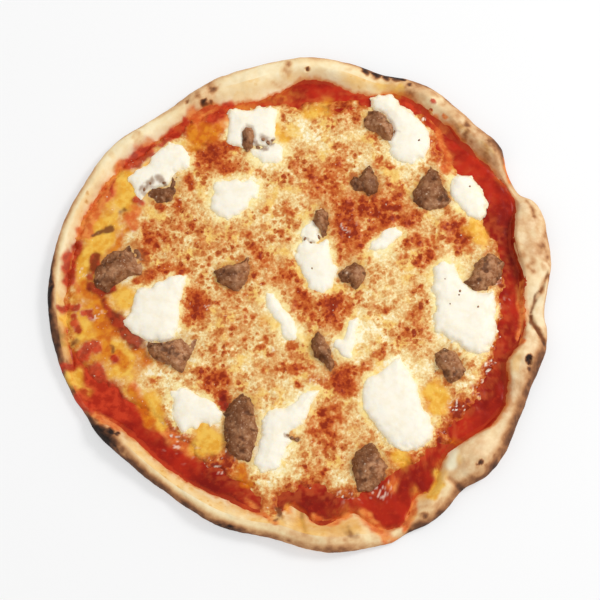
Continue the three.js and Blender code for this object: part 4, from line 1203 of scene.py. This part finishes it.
def makeCheese():
    low, high = (-cheeseSet["reach"],) * 2, (cheeseSet["reach"],) * 2
    cheese, x, y = sheetFor("meltedCheese", low, high, cheeseSet["step"], cheeseInside, 3)
    place = flat(x, y)
    inside = cheeseInside(x, y)
    white = -insideAny(x, y, freshOutlines, levels["tops"])
    meat = -insideAny(x, y, sausageOutlines, levels["tops"])
    stirredX, stirredY = stirred(x, y, 2.6, 5, 81)

    share = cheeseSet["heat"]
    hot = spotField(stirredX, stirredY, cheesePaint["hot"], levels["cheese"])
    pale = spotField(stirredX, stirredY, cheesePaint["pale"], levels["cheese"])
    amber = np.clip(spotField(stirredX, stirredY, cheesePaint["amber"], levels["cheese"]), 0, 1)
    fine = softNoise(place, 1.6, 91)
    lumpy = lumps(place, 3.6, 83, 3)
    middling = lumps(place, 9, 87, 2)
    halo = np.exp(-(np.clip(white, 0, 99) / (4 + 1.5 * lumpy)) ** 2)
    farHere, angleHere = polarOf(stirredX, stirredY)
    left = rimPatches(angleHere, farHere, cheesePaint["leftAmber"]) * (1 + 0.4 * middling)
    amber = np.maximum(amber, np.clip(left, 0, 1)) * (1 - 0.7 * np.clip(hot, 0, 1))
    amber = amber * (1 - 0.8 * np.clip(pale, 0, 1))
    calm = np.clip(pale + halo + 0.9 * amber, 0, 1)
    shakenX, shakenY = stirred(x, y, 0.9, 2, 93)
    big = dots(shakenX, shakenY, 6.2, 201)
    small = dots(shakenX, shakenY, 2.9, 211)
    busy = between(-0.7, 0.5, lumps(place, 11, 89, 2) + 0.5 * hot) * (1 - 0.65 * calm)
    heat = share["base"] + 0.13 * middling + 0.08 * lumpy + 0.06 * fine - 0.16 * pale - 0.14 * halo
    wash = spotField(x, y, cheesePaint["wash"], levels["cheese"])
    heat = heat + share["wash"] * wash * (1 + 0.5 * lumpy)
    heat = heat + share["hot"] * np.clip(hot * (0.85 + 0.8 * lumpy + 0.3 * fine), 0, 1.3)
    rim = (1 - smooth(inside / (9 + 3 * middling))) * (1 - 0.6 * amber)
    heat = heat * (1 - 0.5 * rim) + share["rim"] * rim * (0.8 + 0.6 * lumpy)
    heat = np.maximum(heat, heat * (1 - big * busy) + share["big"] * big * busy)
    heat = np.maximum(heat, heat * (1 - small * busy) + share["small"] * small * busy)
    wet = spotField(x, y, cheesePaint["wet"], levels["cheese"])
    # pale strands of cheese, and painted glints where it is wet
    strandAndGlint = between(0.62, 0.9, 1 - 2.2 * np.abs(softNoise(place, 2.6, 97)))
    strandAndGlint = strandAndGlint * between(0, 0.3, softNoise(place, 3.4, 99) + 0.15) * wet
    strandAndGlint = np.maximum(strandAndGlint, sparkle(x, y, 0.4, 0.7, 2.3, 221) * between(0.25, 0.7, wet))
    heat = heat + share["wet"] * wet * (1 - strandAndGlint)
    redInk = inkAt(x, y, "red")
    rust = inkAt(x, y, "rust") * (0.9 + 0.4 * lumpy)
    heat = np.maximum(heat, heat * (1 - rust) + share["rust"] * rust)
    amber = amber * (1 - redInk)
    butter = np.exp(-(np.clip(white, 0, 99) / 5) ** 2) * between(-0.3, 0.5, lumpy + middling)
    heat = heat * (1 - 0.6 * butter)

    relief = 0.45 * lumps(place, 7, 103) + 0.3 * lumpy + 0.12 * fine + 0.25 * halo + 0.3 * big * busy
    relief = relief * (1 - 0.6 * amber) + 0.4 * smooth(redInk) + 0.7 * strandAndGlint
    layer = 0.45 * smooth(inside / 2) + 0.55 * smooth(inside / 9)
    thick = cheeseSet["thick"] * layer + relief * smooth(inside / 4)
    thick = np.where(inside > 0, thick, 0.55 * inside)
    over = np.full(len(x), 7.2)
    for line, wide in cheeseSet["tongues"]:
        over = over + 9 * np.exp(-(alongLine(x, y, line, levels["sauce"]) / wide) ** 2)
    z = np.minimum(sauceTop(x, y), over) + thick
    writePoints(cheese, np.column_stack([x, y, z]))
    sealUnder(cheese, 1.2)
    paint(cheese, "browning", heat)
    paint(cheese, "busy", np.clip(0.25 + 0.75 * busy, 0, 1) * (1 - 0.8 * calm))
    ruddy = 0.15 + 0.8 * hot + 0.4 * wash + 0.4 * rim + 0.6 * rust + 0.5 * wet
    paint(cheese, "ruddy", np.clip(ruddy, 0, 1))
    paint(cheese, "amber", amber)
    paint(cheese, "butter", butter)
    paintInk(cheese, x, y)
    # a darker ring round each sausage: grease, and painted shade at its foot
    paint(cheese, "greaseAndShade", np.exp(-(np.clip(meat, 0, 99) / 2.5) ** 2))
    paint(cheese, "wet", np.clip(wet + 0.5 * amber, 0, 1))
    paint(cheese, "strandAndGlint", strandAndGlint)
    cheese.data.materials.append(cheeseFinish())
    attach(cheese, "root")
    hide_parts("melted_cheese")
    print("cheese:", len(cheese.data.polygons), "faces")
    return cheese


def cheeseFinish():
    shade = Shade("browningCheese")
    fine = shade.span(shade.grain(1.6, 3, 0.6), -0.42, 0.42)
    uneven = shade.sum(fine, shade.span(shade.grain(4, 2), -0.09, 0.09))
    spots = shade.sum(shade.blisters(4.6), shade.span(shade.blisters(2.3), 0, 0.5))
    spots = shade.times(spots, shade.painted("busy"))
    heat = shade.sum(shade.sum(shade.painted("browning"), uneven), shade.span(spots, 0, 0.35))
    colour = shade.ramp(heat, [
        (0, (255, 246, 214)), (0.12, (250, 228, 166)), (0.25, (237, 202, 138)), (0.37, (226, 174, 106)),
        (0.5, (213, 145, 80)), (0.64, (201, 120, 56)), (0.8, (182, 92, 38)), (1, (150, 58, 20)),
    ])
    ruddy = shade.ramp(heat, [
        (0, (255, 244, 206)), (0.25, (238, 190, 124)), (0.5, (214, 124, 60)),
        (0.64, (200, 98, 38)), (0.8, (180, 70, 24)), (1, (146, 44, 14)),
    ])
    colour = shade.mix(shade.painted("ruddy"), colour, ruddy)
    warm = shade.steps(shade.grain(11, 3), 0.5, 0.66)
    golden = shade.mix(shade.span(warm, 0, 0.6), colour, tone(246, 198, 88))
    golden = shade.covered(golden, "butter", 0.6, tone(252, 233, 160))
    colour = shade.mix(shade.steps(heat, 0.3, 0.55), golden, colour)
    oily = shade.mottled(8, 3, 0.35, 0.65, (238, 168, 40), (218, 128, 22))
    colour = shade.covered(colour, "amber", 0.9, oily)
    colour = shade.covered(colour, "greaseAndShade", 0.35, tone(190, 128, 66))
    colour = shade.inked(colour)
    # painted glints: bright specks scattered over the cheese
    glintSpecks = shade.steps(shade.grain(1.7, 1), 0.71, 0.8)
    colour = shade.mix(shade.span(glintSpecks, 0, 0.55), colour, tone(255, 242, 212))
    colour = shade.mix(shade.painted("strandAndGlint"), colour, tone(255, 246, 226))
    wet = shade.painted("wet")
    shade.give("Base Color", colour)
    shade.give("Roughness", shade.span(wet, 0.4, 0.16))
    shade.give("Specular IOR Level", shade.span(wet, 0.12, 0.22))
    shade.bump(shade.grain(1.5, 4), shade.span(wet, 0.45, 0.9), 0.4)
    return shade.material


# spoonfuls of fresh cheese

freshSet = {
    "step": 0.5, "seat": 8.1, "edge": 4.5, "spread": 0.6, "rise": 0.78, "margin": 3, "spare": 1.3,
    "drop": 0.4, "ragged": [(1.1, 4.5, 111), (0.4, 1.9, 113)],  # amount, size and seed of uneven edges
}

freshOutlines = [  # picture points round each spoonful
    [(128, 176), (138, 168), (149, 163), (151, 156), (162, 149), (169, 143), (177, 143), (186, 150),
     (191, 157), (189, 166), (178, 170), (172, 173), (168, 186), (158, 186), (148, 190), (141, 198),
     (134, 190)],
    [(231, 109), (252, 110), (258, 108), (270, 105), (277, 109), (275, 120), (275, 138), (268, 146),
     (255, 146), (243, 146), (233, 146), (227, 141), (230, 125)],
    [(250, 148), (262, 147), (275, 143), (283, 148), (282, 158), (274, 163), (262, 162), (254, 156)],
    [(216, 182), (225, 179), (240, 180), (252, 180), (259, 185), (257, 194), (250, 200), (246, 207),
     (238, 213), (227, 217), (217, 214), (212, 208), (213, 196)],
    [(372, 98), (380, 94), (392, 95), (399, 105), (412, 112), (420, 121), (428, 131), (429, 145),
     (424, 157), (414, 162), (398, 160), (389, 151), (390, 138), (393, 128), (386, 115), (374, 108)],
    [(451, 186), (452, 177), (459, 174), (470, 176), (476, 184), (481, 192), (486, 203), (484, 212),
     (480, 218), (470, 215), (461, 208), (455, 200), (451, 194)],
    [(401, 232), (396, 227), (390, 228), (382, 234), (374, 241), (370, 248), (376, 250), (386, 246),
     (396, 240)],
    [(299, 244), (306, 240), (318, 243), (326, 240), (330, 247), (331, 258), (336, 268), (333, 278),
     (331, 287), (325, 291), (316, 290), (309, 286), (304, 276), (299, 266), (295, 255)],
    [(436, 266), (445, 261), (455, 263), (459, 274), (466, 284), (478, 292), (492, 293), (495, 305),
     (495, 318), (497, 330), (489, 346), (480, 353), (470, 352), (458, 343), (447, 337), (437, 330),
     (435, 315), (437, 300), (433, 285)],
    [(137, 289), (150, 287), (162, 281), (172, 276), (185, 277), (183, 290), (180, 300), (178, 315),
     (177, 328), (172, 336), (163, 341), (150, 341), (141, 337), (130, 330), (125, 320), (131, 310),
     (134, 298)],
    [(267, 292), (274, 294), (278, 303), (286, 310), (292, 320), (296, 330), (297, 338), (290, 340),
     (283, 334), (279, 324), (273, 313), (267, 304)],
    [(350, 320), (357, 318), (356, 330), (355, 345), (351, 356), (344, 357), (339, 350), (334, 346),
     (336, 340), (343, 338), (348, 330)],
    [(377, 374), (388, 367), (395, 360), (400, 358), (405, 368), (410, 376), (416, 386), (420, 398),
     (424, 408), (430, 417), (434, 428), (430, 438), (420, 446), (408, 449), (396, 446), (385, 435),
     (375, 424), (367, 412), (363, 398), (364, 385), (370, 377)],
    [(172, 391), (180, 388), (190, 391), (200, 396), (208, 400), (215, 404), (221, 411), (219, 421),
     (210, 425), (200, 422), (195, 427), (184, 430), (176, 425), (173, 412), (174, 400)],
    [(319, 390), (313, 398), (308, 412), (303, 424), (297, 428), (285, 434), (292, 441), (285, 448),
     (284, 458), (276, 468), (262, 470), (254, 463), (257, 450), (262, 435), (262, 420), (268, 412),
     (285, 408), (300, 398), (309, 392)],
    [(303, 230), (308, 223), (313, 221), (318, 226), (322, 236), (316, 243), (308, 242), (303, 238)],
]

freshSmears = [  # picture points along each, half-width, amount of brown rubbed off the meat
    ([(141, 189), (147, 185), (153, 180)], 4, 0.7), ([(158, 177), (164, 182), (167, 189)], 4, 0.7),
    ([(143, 193), (150, 195)], 4, 0.6), ([(255, 141), (259, 146), (266, 148)], 3.4, 0.7),
    ([(262, 136), (268, 140), (271, 142)], 4.5, 0.7), ([(276, 138), (272, 141)], 3, 0.7),
    ([(256, 126), (262, 124), (268, 128)], 2, 0.2), ([(304, 236), (308, 240), (314, 242)], 2, 0.5),
    ([(317, 228), (319, 236)], 1.8, 0.4), ([(306, 230), (312, 236)], 3, 0.2),
    ([(395, 129), (399, 132)], 2.2, 0.4), ([(285, 435), (291, 437), (297, 438)], 2.6, 0.6),
]


def toppingSheet(name, node, outline, own):
    # a sheet within an outline, how deep inside it each vertex is, the height over the seat, and its box
    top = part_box(node)[1].z / mm
    corners = [seenAt(u, v, 0.5 * (own["seat"] + top)) for u, v in outline]

    def inside(x, y):
        place = flat(x, y)
        ragged = sum(by * softNoise(place, size, seed) for by, size, seed in own["ragged"])
        return insideOutline(x, y, corners) + own["spread"] + ragged

    low = np.min(corners, axis=0) - own["margin"]
    high = np.max(corners, axis=0) + own["margin"]
    piece, x, y = sheetFor(name, low, high, own["step"], inside, own["spare"])
    return piece, x, y, inside(x, y), top - own["seat"], low, high


def makeFresh():
    finish = freshFinish()
    made = []
    for k, outline in enumerate(freshOutlines):
        node = f"fresh_cheese_{k + 1:02d}"
        name = f"freshCheese{k + 1:02d}"
        piece, x, y, deep, tall = toppingSheet(name, node, outline, freshSet)[:5]
        place = flat(x, y)
        edge = np.sqrt(1 - (1 - np.clip(deep / freshSet["edge"], 0, 1)) ** 2)
        meat = between(-1.5, 1.5, insideAny(x, y, sausageOutlines, levels["meat"]))
        curd = 0.2 * lumps(place, 8, 117) + 0.04 * lumps(place, 2.2, 119, 2)
        rise = freshSet["rise"] * tall * (0.7 * edge + 0.3 * smooth(deep / 10))
        rise = rise * (1 - 0.75 * meat) + curd * edge  # it sinks under the meat
        z = freshSet["seat"] + np.where(deep > 0, rise, 1.3 * deep)
        writePoints(piece, np.column_stack([x, y, z]))
        sealUnder(piece, freshSet["drop"])
        paint(piece, "edge", np.exp(-(np.clip(deep, 0, 99) / 1.2) ** 2))
        smear = np.zeros(len(x))
        stirredX, stirredY = stirred(x, y, 1.1, 2.2, 121)
        for line, wide, amount in freshSmears:
            away = alongLine(stirredX, stirredY, line, levels["fresh"]) / (wide * pointSize)
            smear = np.maximum(smear, amount * np.exp(-away ** 2))
        paint(piece, "smear", smear)
        piece.data.materials.append(finish)
        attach(piece, "root")
        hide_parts(node)
        made.append(piece)
    print("fresh cheese:", len(made), "pieces,", sum(len(p.data.polygons) for p in made), "faces")
    return made


def freshFinish():
    shade = Shade("softWhiteCheese")
    colour = shade.mottled(6, 3, 0.4, 0.7, (242, 236, 220), (239, 230, 208))
    colour = shade.covered(colour, "edge", 0.5, tone(252, 236, 184))
    colour = shade.mix(shade.steps(shade.painted("smear"), 0.1, 0.9), colour, tone(156, 124, 100))
    shade.give("Base Color", colour)
    shade.give("Roughness", 0.5)
    shade.give("Specular IOR Level", 0.2)
    # a faint glow: painted light that fills in the shade on the cheese's sides
    shade.give("Emission Color", colour)
    shade.give("Emission Strength", 0.1)
    shade.give("Subsurface Weight", 0.25)
    shade.give("Subsurface Radius", (1, 0.8, 0.5))
    shade.give("Subsurface Scale", 2 * mm)
    shade.bump(shade.grain(2.2, 3), 0.1, 0.3)
    return shade.material


# sausage

sausageSet = {
    "step": 0.42, "seat": 8, "slope": 1.9, "facets": 5, "seed": 8, "spread": 0.4, "margin": 3,
    "spare": 0.9, "drop": 0.4, "ragged": [(0.6, 3, 131), (0.4, 1.3, 133)],
    # 0 pale, 1 dark, for each piece
    "roastAndShade": (0.5, 0.25, 0, 1, 0.7, -0.1, 0.8, 0.1, -0.05, 0.9, 0.8, -0.1, 0.35, 0.6, 0.4),
}

sausageOutlines = [  # picture points round each piece
    [(95, 268), (104, 256), (112, 250), (122, 249), (130, 242), (137, 242), (139, 252), (147, 264),
     (141, 273), (128, 275), (119, 281), (107, 290), (97, 287), (93, 278)],
    [(215, 270), (223, 265), (238, 262), (248, 256), (250, 266), (247, 279), (238, 290), (229, 287),
     (217, 280)],
    [(365, 117), (370, 110), (378, 109), (386, 115), (393, 124), (395, 131), (391, 140), (384, 138),
     (378, 131), (370, 129), (365, 125)],
    [(351, 180), (353, 174), (360, 176), (363, 170), (370, 163), (373, 169), (376, 175), (380, 183),
     (377, 191), (369, 195), (363, 189), (355, 190)],
    [(431, 165), (438, 170), (442, 182), (452, 199), (444, 206), (428, 209), (416, 203), (412, 192),
     (422, 178)],
    [(316, 208), (321, 204), (327, 211), (329, 222), (327, 234), (323, 238), (319, 228), (313, 220)],
    [(338, 272), (346, 267), (355, 261), (363, 266), (366, 273), (363, 281), (356, 288), (350, 282),
     (341, 279)],
    [(489, 252), (497, 256), (504, 261), (501, 271), (497, 281), (483, 291), (474, 289), (465, 281),
     (473, 274), (476, 263)],
    [(148, 341), (160, 342), (168, 340), (177, 339), (187, 334), (195, 338), (191, 352), (186, 364),
     (181, 373), (174, 367), (163, 361), (152, 356), (147, 349)],
    [(236, 396), (242, 393), (249, 397), (253, 403), (255, 417), (258, 428), (258, 443), (256, 453),
     (251, 463), (244, 460), (231, 453), (226, 446), (224, 430), (224, 413), (229, 404)],
    [(311, 339), (318, 331), (325, 337), (330, 348), (334, 364), (331, 371), (324, 362), (314, 355)],
    [(436, 353), (446, 347), (457, 352), (462, 361), (467, 369), (461, 377), (451, 382), (442, 370),
     (437, 363)],
    [(356, 451), (366, 444), (373, 441), (380, 453), (387, 466), (383, 477), (372, 488), (359, 489),
     (354, 474), (352, 460)],
    [(145, 193), (152, 187), (162, 187), (170, 186), (172, 178), (173, 170), (178, 172), (181, 180),
     (176, 190), (170, 199), (158, 202), (150, 199)],
    [(241, 131), (246, 125), (252, 127), (255, 136), (253, 146), (247, 150), (242, 144)],
]


def makeSausage():
    finish = sausageFinish()
    rng = np.random.default_rng(sausageSet["seed"])
    faces = 0
    for k, outline in enumerate(sausageOutlines):
        node = f"sausage_{k + 1:02d}"
        name = f"sausage{k + 1:02d}"
        piece, x, y, deep, tall, low, high = toppingSheet(name, node, outline, sausageSet)
        place = flat(x, y)
        middle = (low + high) / 2
        half = (high - low) / 2 - sausageSet["margin"]

        # a torn lump: a block cut by a few slanting planes, with hollows between its crumbs
        rise = np.minimum(sausageSet["slope"] * deep, tall + 1.0)
        for cut in range(sausageSet["facets"]):
            turn = 2 * math.pi * (cut + rng.random()) / sausageSet["facets"]
            lean = 0.15 + 0.65 * rng.random()
            along = (x - middle[0]) * math.cos(turn) + (y - middle[1]) * math.sin(turn)
            rise = np.minimum(rise, tall * (0.85 + 0.3 * rng.random()) - lean * along)
        grain = lumps(place, 4.5, 137) + 0.45 * softNoise(place, 1.6, 139)
        rise = rise + 0.9 * grain * np.clip(deep / 1.5, 0, 1)
        z = sausageSet["seat"] + np.where(deep > 0, np.clip(rise, 0.4, tall), 1.5 * deep)
        writePoints(piece, np.column_stack([x, y, z]))
        sealUnder(piece, sausageSet["drop"])
        # painted shade in the low places between the crumbs
        paint(piece, "hollowShade", between(0.05, 0.9, -grain))
        # roasting, with painted shade: each piece darker on its left side, and broad lit and shaded patches
        side = (x - middle[0]) / half[0]
        roastAndShade = sausageSet["roastAndShade"][k] - 0.35 * side + 1.1 * lumps(place, 7, 143, 3)
        paint(piece, "roastAndShade", np.clip(roastAndShade, 0, 1))
        paint(piece, "glint", between(0.9, 1, dots(x, y, 3.2, 251)) * (deep > 1.5))
        # painted shade darkening each piece towards its foot
        paint(piece, "footShade", 1 - smooth(deep / 2.4))
        piece.data.materials.append(finish)
        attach(piece, "root")
        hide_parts(node)
        faces += len(piece.data.polygons)
    print("sausage:", len(sausageOutlines), "pieces,", faces, "faces")


def sausageFinish():
    shade = Shade("cookedMince")
    colour = shade.mottled(3.5, 4, 0.35, 0.65, (190, 138, 98), (148, 92, 54))
    colour = shade.covered(colour, "roastAndShade", 0.75, tone(104, 56, 24))
    specks = shade.steps(shade.grain(1.4, 2), 0.56, 0.74)
    colour = shade.mix(shade.span(specks, 0, 0.65), colour, tone(206, 164, 130))
    colour = shade.covered(colour, "hollowShade", 0.75, tone(74, 36, 14))
    colour = shade.covered(colour, "footShade", 0.25, tone(116, 72, 46))
    colour = shade.covered(colour, "glint", 0.6, tone(238, 212, 186))
    shade.give("Base Color", colour)
    shade.give("Roughness", shade.span(shade.grain(3, 2), 0.35, 0.7))
    shade.give("Specular IOR Level", 0.2)
    shade.bump(shade.grain(1.1, 4), 0.5, 0.4)
    return shade.material


# crumbs of meat lying on the fresh cheese

crumbSet = {
    "places": [  # picture point, radius in millimetres
        (144, 189, 1), (150, 183, 0.7), (164, 182, 0.9), (258, 146, 1), (263, 139, 1.1),
        (268, 142, 1.3), (272, 139, 0.8), (305, 238, 0.9), (311, 242, 0.8), (319, 236, 1),
        (287, 435, 1), (292, 437, 1.2), (297, 439, 0.9), (419, 140, 0.6), (470, 186, 0.5),
        (460, 291, 0.7), (459, 295, 0.5), (478, 307, 0.5), (312, 268, 0.5), (395, 131, 0.9),
        (445, 279, 0.35), (450, 304, 0.35), (436, 370, 0.4),
    ],
    "lowest": 9, "seed": 3,
}


def makeCrumbs(beneath):
    trees = []
    for piece in beneath:
        corners = [vertex.co for vertex in piece.data.vertices]
        trees.append(BVHTree.FromPolygons(corners, [face.vertices for face in piece.data.polygons]))
    rng = np.random.default_rng(crumbSet["seed"])
    made = []
    for u, v, radius in crumbSet["places"]:
        x, y = seenAt(u, v, levels["fresh"])
        tops = [tree.ray_cast(Vector((x * mm, y * mm, 0.1)), Vector((0, 0, -1)))[0] for tree in trees]
        height = max([crumbSet["lowest"]] + [top.z / mm for top in tops if top])
        deselectAll()
        bpy.ops.mesh.primitive_ico_sphere_add(subdivisions=2, radius=1)
        crumb = bpy.context.object
        points = readPoints(crumb) * mm
        points = points * (1 + 0.28 * lumps(points * 3 + 20 * rng.random(3), 2, 141, 2))[:, None]
        stretch = radius * (0.8 + 0.5 * rng.random(3)) * np.array([1.3, 1, 0.4])
        turn = rng.random() * math.pi
        points = points * stretch
        across = points[:, 0] * math.cos(turn) - points[:, 1] * math.sin(turn)
        along = points[:, 0] * math.sin(turn) + points[:, 1] * math.cos(turn)
        writePoints(crumb, np.column_stack([across + x, along + y, points[:, 2] + height + 0.1 * radius]))
        made.append(crumb)
    deselectAll()
    for crumb in made:
        crumb.select_set(True)
    bpy.context.view_layer.objects.active = made[0]
    bpy.ops.object.join()
    crumbs = bpy.context.object
    crumbs.name = "meatCrumbs"
    bpy.ops.object.shade_smooth()
    crumbs.data.materials.append(crumbFinish())
    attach(crumbs, "root")
    print("crumbs:", len(crumbs.data.polygons), "faces")


def crumbFinish():
    shade = Shade("meatCrumb")
    colour = shade.mottled(0.8, 2, 0.35, 0.65, (168, 122, 88), (120, 78, 50))
    shade.give("Base Color", colour)
    shade.give("Roughness", 0.5)
    shade.give("Specular IOR Level", 0.2)
    shade.bump(shade.grain(0.6, 2), 0.4, 0.2)
    return shade.material


# build

makeCamera()
makeLights()
makeFloor()
makeCrust()
makeSauce()
cheese = makeCheese()
fresh = makeFresh()
makeSausage()
makeCrumbs(fresh + [cheese])
